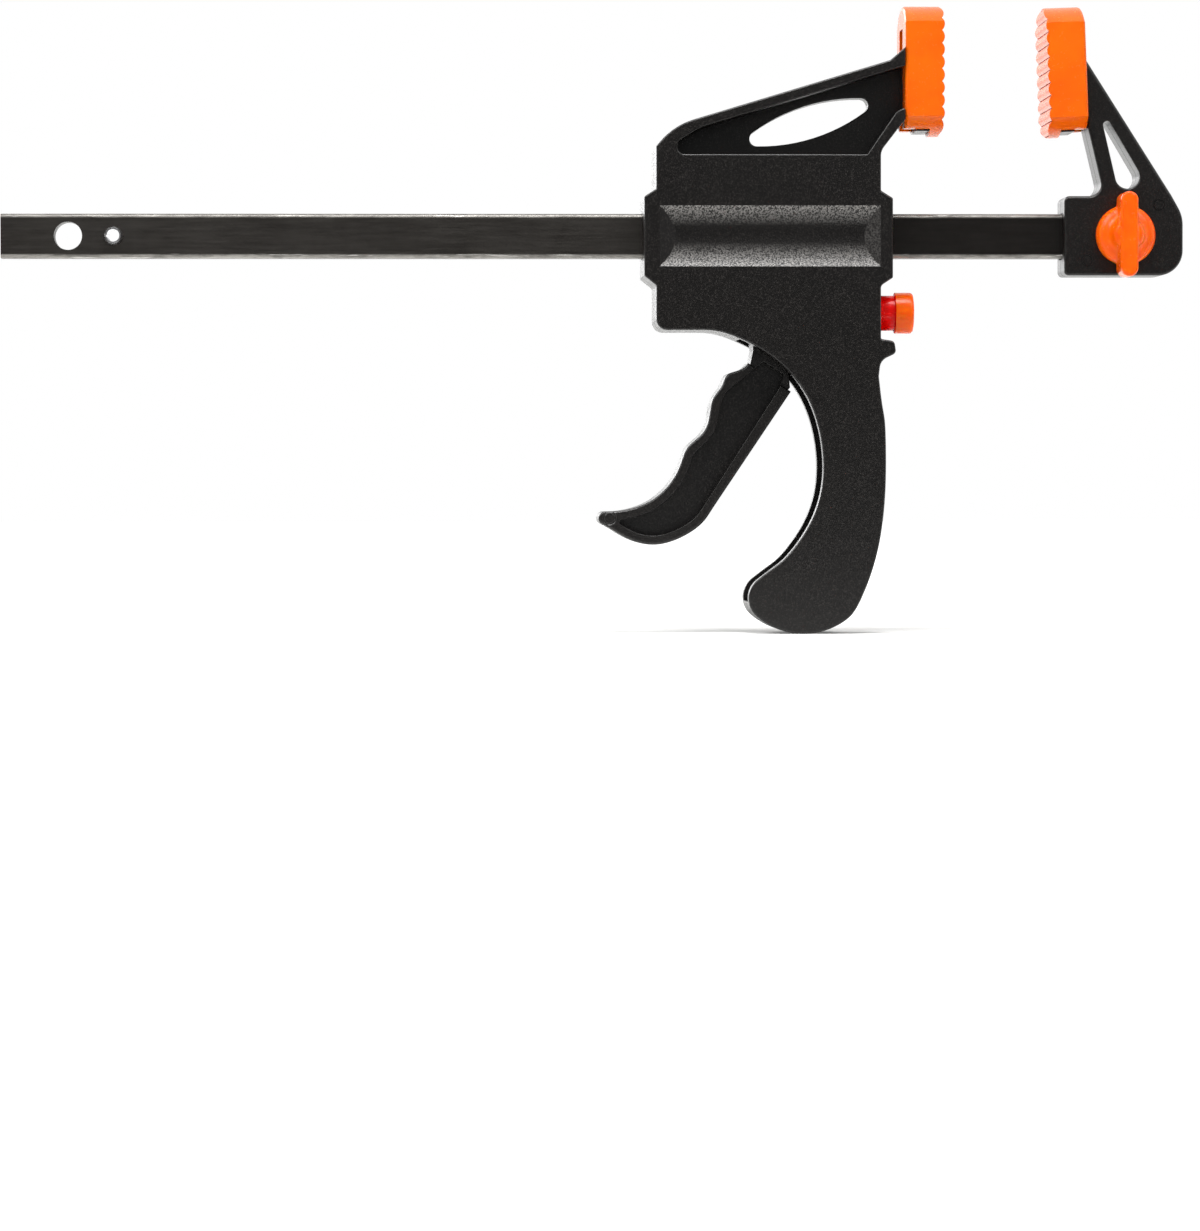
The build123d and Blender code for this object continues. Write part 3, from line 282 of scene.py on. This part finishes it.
def blackened_bar_steel():
    """Cold-rolled steel with a black oxide finish: dark brown-grey faces with faint lengthwise
    rolling lines, painted darker towards the fixed jaw as painted shade, worn to grey along the
    rounded edges, with short bright scratches there. The lines are drawn coarser than they are, so
    that they show."""
    made, tree = new_material("Rolled_steel_black_oxide")
    where = add(tree, "TexCoord").outputs["Object"]
    x, y, z = add(tree, "SeparateXYZ", (where,)).outputs
    drawn = add(tree, "Mapping", {"Vector": where, "Scale": (0.06, 1.0, 1.0)})
    smeared = add(tree, "Mapping", {"Vector": where, "Scale": (0.35, 1.0, 1.0)})

    stain = add(tree, "TexNoise", {"Vector": where, "Scale": per(7.0), "Detail": 3.0, "Roughness": 0.6})
    colour = drift(tree, stain, "34312E", "3F3C39")
    lines = add(tree, "TexNoise", {"Vector": drawn, "Scale": per(0.35), "Detail": 3.0, "Roughness": 0.6})
    pale = add(tree, "MapRange", (lines, 0.3, 0.7, 0.0, 0.4))
    colour = add(tree, "Mix", {0: pale, 6: colour, 7: linear("4C4946")}, data_type="RGBA")
    # painted shade: the bar darkens from 128 mm along and is darkest past 137 mm, towards the fixed jaw
    painted_shade_by_jaw = add(tree, "MapRange", (x, 128.0 * MM, 137.0 * MM, 0.0, 0.75))
    colour = add(tree, "Mix", {0: painted_shade_by_jaw, 6: colour, 7: linear("171413")}, data_type="RGBA")

    # the rounded edges: high or low on the bar, at its sides, and less on top
    edge = add(tree, "Math", (z,), operation="ABSOLUTE")
    edge = add(tree, "MapRange", (edge, 2.95 * MM, 3.2 * MM))
    side = add(tree, "Math", (y,), operation="ABSOLUTE")
    side = add(tree, "MapRange", (side, 1.1 * MM, 1.6 * MM, 0.12, 1.0))
    edge = add(tree, "Math", (edge, side), operation="MULTIPLY")
    lower = add(tree, "MapRange", (z, -1.0 * MM, 1.0 * MM, 1.0, 0.5))
    edge = add(tree, "Math", (edge, lower), operation="MULTIPLY")

    rub = add(tree, "TexNoise", {"Vector": smeared, "Scale": per(1.4), "Detail": 4.0, "Roughness": 0.65})
    worn = add(tree, "MapRange", (rub, 0.35, 0.62, 0.4, 1.0))
    worn = add(tree, "Math", (edge, worn), operation="MULTIPLY")
    colour = add(tree, "Mix", {0: worn, 6: colour, 7: linear("A29F9A")}, data_type="RGBA")
    nicks = add(tree, "TexNoise", {"Vector": drawn, "Scale": per(0.5), "Detail": 3.0, "Roughness": 0.7})
    nicks = add(tree, "MapRange", (nicks, 0.6, 0.66))
    nicks = add(tree, "Math", (edge, nicks), operation="MULTIPLY")
    colour = add(tree, "Mix", {0: nicks, 6: colour, 7: linear("D8D6D2")}, data_type="RGBA")

    rough = add(tree, "MapRange", (lines, 0.3, 0.7, 0.36, 0.5))
    normal = add(tree, "Bump", {"Height": lines, "Distance": 0.015 * MM, "Strength": 0.6})
    shader = add(tree, "BsdfPrincipled", {"Base Color": colour, "Metallic": 0.75, "Roughness": rough,
                                          "Normal": normal})
    add(tree, "OutputMaterial", (shader,))
    return made


def zinc_plated_steel():
    """Steel with bright zinc plating: cool light grey, slightly uneven gloss."""
    made, tree = new_material("Steel_zinc_plated")
    where = add(tree, "TexCoord").outputs["Object"]
    mottle = add(tree, "TexNoise", {"Vector": where, "Scale": per(1.2), "Detail": 3.0, "Roughness": 0.6})
    rough = add(tree, "MapRange", (mottle, 0.3, 0.7, 0.22, 0.36))
    normal = add(tree, "Bump", {"Height": mottle, "Distance": 0.01 * MM, "Strength": 0.4})
    shader = add(tree, "BsdfPrincipled", {"Base Color": drift(tree, mottle, "B9BABD", "CFCFD0"),
                                          "Metallic": 1.0, "Roughness": rough, "Normal": normal})
    add(tree, "OutputMaterial", (shader,))
    return made


def oiled_spring_wire():
    """Drawn carbon spring wire, oiled: mid grey metal, streaked from the draw."""
    made, tree = new_material("Spring_wire_drawn")
    where = add(tree, "TexCoord").outputs["Object"]
    streaks = add(tree, "TexNoise", {"Vector": where, "Scale": per(0.2)})
    rough = add(tree, "MapRange", (streaks, 0.3, 0.7, 0.25, 0.4))
    shader = add(tree, "BsdfPrincipled", {"Base Color": drift(tree, streaks, "7C7A78", "9A9894"),
                                          "Metallic": 1.0, "Roughness": rough})
    add(tree, "OutputMaterial", (shader,))
    return made


def stamped_hardened_steel():
    """Stamped and tumbled plate, hardened: dull grey with a fine tumbled mottle."""
    made, tree = new_material("Plate_steel_stamped_hardened")
    where = add(tree, "TexCoord").outputs["Object"]
    mottle = add(tree, "TexNoise", {"Vector": where, "Scale": per(0.8), "Detail": 4.0, "Roughness": 0.6})
    rough = add(tree, "MapRange", (mottle, 0.3, 0.7, 0.35, 0.5))
    normal = add(tree, "Bump", {"Height": mottle, "Distance": 0.02 * MM, "Strength": 0.5})
    shader = add(tree, "BsdfPrincipled", {"Base Color": drift(tree, mottle, "5E5B57", "7A7772"),
                                          "Metallic": 1.0, "Roughness": rough, "Normal": normal})
    add(tree, "OutputMaterial", (shader,))
    return made


# ---- dress the construction's own pieces -----------------------------------------------------
casing_nylon = glass_filled_nylon("Glass_filled_nylon_moulded", scoop=True)
jaw_nylon = glass_filled_nylon("Glass_filled_nylon_jaw")
trigger_nylon = glass_filled_nylon("Glass_filled_nylon_trigger", marks=[(90.2, -47.2, 1.0)])
pad_rubber = soft_orange_rubber()
knob_plastic = orange_polypropylene("Polypropylene_moulded_orange")
# the button's stem carries painted shade
button_plastic = orange_polypropylene("Polypropylene_moulded_painted_shade_stem", painted_shade_stem=BUTTON_STEM)
zinc_steel = zinc_plated_steel()
finish_of = {
    "black_nylon": casing_nylon,
    "orange_pad": pad_rubber,
    "orange_plastic": knob_plastic,
    "blackened_steel": blackened_bar_steel(),
    "bright_steel": zinc_steel,
    "spring_steel": oiled_spring_wire(),
    "hardened_steel": stamped_hardened_steel(),
}
own_finish = {"fixed_jaw": jaw_nylon, "trigger": trigger_nylon, "release_button": button_plastic}
for subpart in frame["record"]["subparts"]:
    owner = frame["nodes"][subpart["node"]]
    owner.data.materials.clear()
    owner.data.materials.append(own_finish.get(subpart["node"], finish_of[subpart["material_slot"]]))


# ---- modelled pieces -------------------------------------------------------------------------
def scoop_crease(edge):
    """Whether an edge is where the thumb scoop's bed meets one of its sloping ends."""
    for corner in edge.verts:
        along = abs(corner.co.x / MM - SCOOP_MIDDLE)
        if not SCOOP_HALF_LENGTH - SCOOP_END < along < SCOOP_HALF_LENGTH + SCOOP_SLACK:
            return False
        if abs(corner.co.z / MM + SCOOP_DROP) > SCOOP_HALF_HEIGHT + SCOOP_SLACK:
            return False
        if abs(corner.co.y / MM) < CASING_HALF - SCOOP_DEPTH - SCOOP_SLACK:
            return False
    return edge.calc_face_angle(0.0) > math.radians(15.0)


def finished(name, mesh, material, body, node, smooth_angle=40.0, crease=None):
    """Turn a bmesh into a piece that rides on a body and stands for a node."""
    bmesh.ops.recalc_face_normals(mesh, faces=mesh.faces)
    for face in mesh.faces:
        face.smooth = True
    for edge in mesh.edges:
        sharp = edge.calc_face_angle(0.0) > math.radians(smooth_angle)
        edge.smooth = not (sharp or (crease is not None and crease(edge)))
    data = bpy.data.meshes.new(name)
    mesh.to_mesh(data)
    mesh.free()
    data.materials.append(material)
    piece = bpy.data.objects.new(name, data)
    bpy.context.scene.collection.objects.link(piece)
    even = piece.modifiers.new("even_faces", "WEIGHTED_NORMAL")
    even.mode = "FACE_AREA"
    even.weight = 100
    even.keep_sharp = True
    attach(piece, body)
    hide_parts(node)


def merged_copy(node, flat_angle):
    """The node's own solid with its doubles merged and its flat faces whole."""
    mesh = bmesh.new()
    mesh.from_mesh(frame["nodes"][node].data)
    bmesh.ops.remove_doubles(mesh, verts=mesh.verts, dist=DOUBLES * MM)
    bmesh.ops.dissolve_limit(mesh, angle_limit=math.radians(flat_angle), verts=mesh.verts,
                             edges=mesh.edges)
    return mesh


def round_edges(mesh, edges, width_mm, segments):
    """Round crisp edges, by less where they crowd."""
    bmesh.ops.bevel(mesh, geom=edges, offset=width_mm * MM, offset_type="OFFSET", segments=segments,
                    profile=0.5, affect="EDGES", material=-1, clamp_overlap=True)


def softened_copy(node, width_mm, crisp_angle):
    """The node's own solid with its crisp outer edges rounded; its valleys stay sharp."""
    mesh = merged_copy(node, 1.0)
    crisp = [edge for edge in mesh.edges if edge.is_manifold and edge.is_convex
             and edge.calc_face_angle() > math.radians(crisp_angle)]
    round_edges(mesh, crisp, width_mm, 3)
    return mesh


def toothed_pad(node):
    """A pad's softened solid, with an attribute that is 1 along the sharp valleys of its teeth."""
    mesh = softened_copy(node, 0.16, 28.0)
    valley = mesh.loops.layers.float.new("valley")
    for edge in mesh.edges:
        if edge.is_convex or not edge.is_manifold or edge.calc_face_angle() < math.radians(40.0):
            continue
        for loop in (corner for face in edge.link_faces for corner in face.loops):
            if loop.vert in edge.verts and abs(loop.face.normal.x) > 0.5:
                loop[valley] = 1.0
    return mesh


def parted_copy(node):
    """A casing half's own solid with the outer edge of its parting face rounded, so that the two
    halves meet in a fine groove. An edge is an outer one where a third of the directions round it,
    cast from just outside the wall, meet nothing of the half."""
    mesh = merged_copy(node, 0.5)
    solid = BVHTree.FromBMesh(mesh)
    directions = 12
    turns = [math.tau * step / directions for step in range(directions)]
    around = [Vector((math.cos(turn), 0.0, math.sin(turn))) for turn in turns]
    rim = []
    for edge in mesh.edges:
        if max(abs(corner.co.y) for corner in edge.verts) > HAIR * MM:
            continue
        flat, wall = sorted(edge.link_faces, key=lambda face: -abs(face.normal.y))
        if abs(flat.normal.y) < 0.99 or abs(wall.normal.y) > 0.1:
            continue
        start = (edge.verts[0].co + edge.verts[1].co) / 2 + wall.normal * 0.4 * MM
        start.y = -flat.normal.y * 0.5 * MM
        free = [ray for ray in around if solid.ray_cast(start, ray)[0] is None]
        if len(free) >= directions / 3:
            rim.append(edge)
    round_edges(mesh, rim, 0.25, 2)
    return mesh


def turned(mesh, profile, place_mm, direction, steps=48):
    """Spin an open profile of (radius, along) in mm about an axis along X or Y."""
    centre = Vector(place_mm)
    along = Vector(direction)
    out = Vector((0.0, 0.0, 1.0))
    points = [mesh.verts.new((centre + out * r + along * a) * MM) for r, a in profile]
    edges = [mesh.edges.new(pair) for pair in zip(points, points[1:])]
    bmesh.ops.spin(mesh, geom=points + edges, cent=centre * MM, axis=along, dvec=(0.0, 0.0, 0.0),
                   angle=math.tau, steps=steps, use_merge=True, use_duplicate=False)
    bmesh.ops.remove_doubles(mesh, verts=mesh.verts, dist=HAIR * MM)


def wing_knob():
    """Wing knob moulded in one: domed flange, swelling hub and a wing with full round ends."""
    low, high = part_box("lock_knob")
    x, back, tip = (low.x + high.x) / 2 / MM, high.y / MM, low.y / MM
    wing_half = 1.5  # mm
    wing_root = 0.35  # mm from the flange's back to the wing's, inside the flange
    mesh = bmesh.new()
    turned(mesh, [
        (0.0, 0.0), (4.6, 0.0), (4.95, 0.3), (5.0, 0.9), (4.95, 1.9), (4.65, 2.6),  # flange
        (4.1, 3.05), (3.5, 3.35), (3.05, 3.7), (2.8, 4.3), (2.65, 5.0), (2.5, 5.6),  # hub
        (2.1, 6.05), (1.2, 6.3), (0.0, 6.4),  # crown
    ], (x, back, 0.0), (0.0, -1.0, 0.0))
    outline = bmesh.ops.create_circle(mesh, cap_ends=True, segments=32, radius=wing_half * MM,
                                      matrix=Matrix.Rotation(math.pi / 2, 4, "X"))["verts"]
    stretch = (high.z - low.z) / 2 - wing_half * MM
    for corner in outline:
        corner.co.z += stretch if corner.co.z > 0 else -stretch
        corner.co.x += x * MM
        corner.co.y = (back - wing_root) * MM
    grown = bmesh.ops.extrude_face_region(mesh, geom=[outline[0].link_faces[0]])["geom"]
    top = [part for part in grown if isinstance(part, bmesh.types.BMVert)]
    bmesh.ops.translate(mesh, verts=top, vec=(0.0, (tip - back + wing_root) * MM, 0.0))
    rim = [edge for edge in mesh.edges if all(corner in top for corner in edge.verts)]
    bmesh.ops.bevel(mesh, geom=rim, offset=0.55 * MM, segments=4, profile=0.5, affect="EDGES",
                    material=-1)
    bmesh.ops.recalc_face_normals(mesh, faces=mesh.faces)
    return mesh


def blended(mesh, voxel_mm, passes):
    """The shells of a mesh as one skin with soft inner corners."""
    data = bpy.data.meshes.new("blank")
    mesh.to_mesh(data)
    mesh.free()
    blank = bpy.data.objects.new("blank", data)
    bpy.context.scene.collection.objects.link(blank)
    skin = blank.modifiers.new("skin", "REMESH")
    skin.mode = "VOXEL"
    skin.voxel_size = voxel_mm * MM
    ease = blank.modifiers.new("ease", "SMOOTH")
    ease.factor = 0.5
    ease.iterations = passes
    shaped = bmesh.new()
    shaped.from_object(blank, bpy.context.evaluated_depsgraph_get())
    bpy.data.objects.remove(blank)
    return shaped


def split_pin():
    """Rolled spring pin: a slit tube with rounded lips and a lead-in at each end."""
    low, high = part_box("bar_stop_pin")
    outer, lip, inner = 1.5, 1.28, 1.05  # mm, radii
    end, lead = 4.0, 3.6  # mm from the middle
    slit = 0.24  # radians to each side of the slit's middle
    x, z = high.x / MM - outer, (low.z + high.z) / 2 / MM
    wall = [(outer, -lead), (lip, -end), (inner, -end), (inner, end), (lip, end), (outer, lead)]
    start = Matrix.Rotation(math.pi / 2 + slit, 3, "Y")
    mesh = bmesh.new()
    points = [mesh.verts.new((Vector((x, 0.0, z)) + start @ Vector((0.0, y, -r))) * MM) for r, y in wall]
    face = mesh.faces.new(points)
    bmesh.ops.spin(mesh, geom=[face] + list(face.edges) + points, cent=(x * MM, 0.0, z * MM),
                   axis=(0.0, 1.0, 0.0), angle=math.tau - 2 * slit, steps=40, use_merge=False,
                   use_duplicate=False)
    return mesh


def hexagon_nut():
    """Hexagon nut with its outer corners chamfered, its bore open for the stud."""
    low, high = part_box("lock_nut")
    x, z = (low.x + high.x) / 2, (low.z + high.z) / 2
    corners = (high.z - low.z) / 2 / math.cos(math.pi / 6)
    bore = 2.05  # mm, radius
    chamfer = 0.45  # mm down each corner, at 30 degrees
    upright = Matrix.Rotation(math.pi / 2, 4, "X")
    mesh = bmesh.new()
    bmesh.ops.create_circle(mesh, segments=6, radius=corners,
                            matrix=Matrix.Rotation(math.pi / 6, 4, "Y") @ upright)
    bmesh.ops.subdivide_edges(mesh, edges=mesh.edges, cuts=3)
    ring = list(mesh.edges)
    round_hole = bmesh.ops.create_circle(mesh, segments=24, radius=bore * MM, matrix=upright)["verts"]
    hole = list({edge for corner in round_hole for edge in corner.link_edges})
    bmesh.ops.bridge_loops(mesh, edges=ring + hole)
    bmesh.ops.translate(mesh, verts=mesh.verts, vec=(x, low.y, z))
    grown = bmesh.ops.extrude_face_region(mesh, geom=list(mesh.faces))["geom"]
    bmesh.ops.translate(mesh, verts=[part for part in grown if isinstance(part, bmesh.types.BMVert)],
                        vec=(0.0, high.y - low.y, 0.0))
    for turn in range(6):
        out = Matrix.Rotation(math.radians(60 * turn), 3, "Y") @ Vector((1.0, 0.0, 0.0))
        corner = Vector((x, high.y - chamfer * MM, z)) + out * corners
        cut = (out + Vector((0.0, math.sqrt(3.0), 0.0))).normalized()
        bmesh.ops.bisect_plane(mesh, geom=mesh.verts[:] + mesh.edges[:] + mesh.faces[:], dist=0.001 * MM,
                               plane_co=corner, plane_no=cut, clear_outer=True)
        bmesh.ops.holes_fill(mesh, edges=[edge for edge in mesh.edges if edge.is_boundary], sides=0)
    return mesh


def threaded_stud():
    """Stud with a rolled thread along it and a chamfered end."""
    low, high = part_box("lock_stud")
    x, z = (low.x + high.x) / 2 / MM, (low.z + high.z) / 2 / MM
    start, length = low.y / MM, (high.y - low.y) / MM
    core, chamfer = 1.7, 0.3  # mm
    root, crest = 1.65, 2.0  # mm, radii of the thread, whose root is sunk in the core
    pitch, bare = 0.7, 1.1  # mm; the bare length is at the ends
    turns, steps = int((length - bare) / pitch), 24
    mesh = bmesh.new()
    turned(mesh, [(0.0, 0.0), (core, 0.0), (core, length - chamfer), (core - chamfer, length),
                  (0.0, length)], (x, start, z), (0.0, 1.0, 0.0), 32)
    tooth = [(root, 0.05), (crest, 0.3), (crest, 0.4), (root, 0.65)]
    points = [mesh.verts.new(Vector((x, start + y, z + r)) * MM) for r, y in tooth]
    face = mesh.faces.new(points)
    bmesh.ops.spin(mesh, geom=[face] + list(face.edges) + points, cent=(x * MM, 0.0, z * MM),
                   axis=(0.0, 1.0, 0.0), dvec=(0.0, pitch * MM / steps, 0.0), angle=math.tau * turns,
                   steps=steps * turns, use_merge=False, use_duplicate=False)
    return mesh


def push_button():
    """Push button: stem, sharp-shouldered cap with a soft crowned face, retaining flange and nose."""
    low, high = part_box("release_button")
    nose, end = low.x / MM, high.x / MM
    flange = nose + 2.39
    mesh = bmesh.new()
    turned(mesh, [
        (0.0, nose), (0.6, nose + 0.16), (1.04, nose + 0.6), (1.2, nose + 1.2), (1.2, flange - 1.0),
        (3.55, flange - 1.0), (3.7, flange - 0.85), (3.7, flange - 0.15), (3.55, flange),  # flange
        (2.95, flange), (2.95, end - 3.3),  # stem
        (3.3, end - 3.3), (3.45, end - 3.15), (3.45, end - 0.75), (3.38, end - 0.4),  # cap's side
        (3.15, end - 0.17), (2.7, end - 0.08), (1.6, end - 0.02), (0.0, end),  # crowned face
    ], (0.0, 0.0, (low.z + high.z) / 2 / MM), (1.0, 0.0, 0.0), 64)
    return mesh


finished("moving_jaw_pad_rubber", toothed_pad("moving_jaw_pad"), pad_rubber, "carriage",
         "moving_jaw_pad")
finished("fixed_jaw_pad_rubber", toothed_pad("fixed_jaw_pad"), pad_rubber, "bar_assembly",
         "fixed_jaw_pad")
for half in ("body_front_shell", "body_rear_shell"):
    finished(half + "_moulding", parted_copy(half), casing_nylon, "carriage", half,
             30.0, scoop_crease)
finished("trigger_moulding", softened_copy("trigger", 0.28, 40.0), trigger_nylon, "trigger",
         "trigger", 30.0)
finished("lock_knob_moulding", blended(wing_knob(), 0.12, 14), knob_plastic, "lock",
         "lock_knob", 80.0)
finished("bar_stop_pin_rolled", split_pin(), zinc_steel, "bar_assembly",
         "bar_stop_pin")
finished("lock_nut_chamfered", hexagon_nut(), zinc_steel, "bar_assembly", "lock_nut",
         20.0)
finished("lock_stud_threaded", threaded_stud(), zinc_steel, "lock", "lock_stud")
finished("release_button_moulding", push_button(), button_plastic, "release_button",
         "release_button")


# ---- studio ----------------------------------------------------------------------------------
def floor():
    """Pale floor under the grip, lifted to the backdrop's white where the camera sees it."""
    made, tree = new_material("Paper_floor_matt")
    where = add(tree, "TexCoord").outputs["Object"]
    ray = add(tree, "LightPath").outputs
    across = add(tree, "SeparateXYZ", (where,)).outputs["Y"]
    front = add(tree, "MapRange", (across, *FLOOR_FRONT, 1.0 - ROOM_GLOSS, 0.0))
    dim = add(tree, "Math", (ray["Is Glossy Ray"], front), operation="MULTIPLY")
    tone = add(tree, "Mix", {0: dim, 6: linear(FLOOR_COLOUR), 7: linear("000000")}, data_type="RGBA")
    paper = add(tree, "BsdfDiffuse", (tone,))
    gloss = add(tree, "Math", (ray["Is Glossy Ray"], dim), operation="SUBTRACT")
    seen = add(tree, "Math", (ray["Is Camera Ray"], gloss), operation="MAXIMUM")
    away = add(tree, "VectorMath", (where,), operation="LENGTH")
    lift = add(tree, "MapRange", (away, *FLOOR_CLEAR, FLOOR_GLOW, 1.0))
    lift = add(tree, "Math", (seen, lift), operation="MULTIPLY")
    glow = add(tree, "Emission", {"Strength": lift})
    add(tree, "OutputMaterial", (add(tree, "AddShader", (paper, glow)),))

    mesh = bmesh.new()
    bmesh.ops.create_grid(mesh, x_segments=1, y_segments=1, size=FLOOR_HALF)
    bmesh.ops.translate(mesh, verts=mesh.verts, vec=(FLOOR_MIDDLE, 0.0, cad_box[0].z))
    data = bpy.data.meshes.new("studio_floor")
    mesh.to_mesh(data)
    mesh.free()
    data.materials.append(made)
    plane = bpy.data.objects.new("studio_floor", data)
    bpy.context.scene.collection.objects.link(plane)


def backdrop():
    """White surround, with a dimmer room on the camera's side for gloss, and dimmer still as a light
    on matt surfaces."""
    world = bpy.data.worlds.new("studio")
    bpy.context.scene.world = world
    world.use_nodes = True
    tree = world.node_tree
    tree.nodes.clear()
    ray = add(tree, "LightPath").outputs
    heading = add(tree, "TexCoord").outputs["Generated"]
    toward = add(tree, "SeparateXYZ", (heading,)).outputs["Y"]
    room = add(tree, "MapRange", (toward, *ROOM_EDGE, ROOM_GLOSS, 1.0))
    gloss = add(tree, "Math", (ray["Is Glossy Ray"], room), operation="MULTIPLY")
    seen = add(tree, "Math", (ray["Is Camera Ray"], ray["Is Transmission Ray"]), operation="MAXIMUM")
    seen = add(tree, "Math", (seen, gloss), operation="MAXIMUM")
    light = add(tree, "Math", (seen, BACKDROP_FILL), operation="MAXIMUM")
    white = add(tree, "Background", {"Color": linear("FFFFFF"), "Strength": light})
    add(tree, "OutputWorld", (white,))


def softbox(name, place_mm, size_mm, watts):
    """Square area lamp at a place, turned to the clamp."""
    lamp = bpy.data.lights.new(name, "AREA")
    lamp.size = size_mm * MM
    lamp.energy = watts
    holder = bpy.data.objects.new(name, lamp)
    holder.location = Vector(place_mm) * MM
    holder.rotation_mode = "QUATERNION"
    holder.rotation_quaternion = (Vector(LAMP_AIM) - Vector(place_mm)).to_track_quat("-Z", "Y")
    bpy.context.scene.collection.objects.link(holder)


def camera():
    """Long lens a little to the left of the clamp's middle and below its bar."""
    data = bpy.data.cameras.new("camera")
    data.sensor_width = SENSOR
    data.lens = CAMERA_LENS
    data.clip_start = 0.01
    data.clip_end = 20.0
    holder = bpy.data.objects.new("camera", data)
    turn = Matrix.Rotation(CAMERA_YAW, 4, "Z")
    turn = turn @ Matrix.Rotation(math.pi / 2 + CAMERA_PITCH, 4, "X")
    turn = turn @ Matrix.Rotation(CAMERA_ROLL, 4, "Z")
    holder.matrix_world = Matrix.Translation(Vector(CAMERA_PLACE) * MM) @ turn
    bpy.context.scene.collection.objects.link(holder)
    bpy.context.scene.camera = holder


floor()
backdrop()
for lamp_name, lamp_place, lamp_size, lamp_watts in LAMPS:
    softbox(lamp_name, lamp_place, lamp_size, lamp_watts)
camera()

bpy.context.scene.view_settings.view_transform = "Standard"
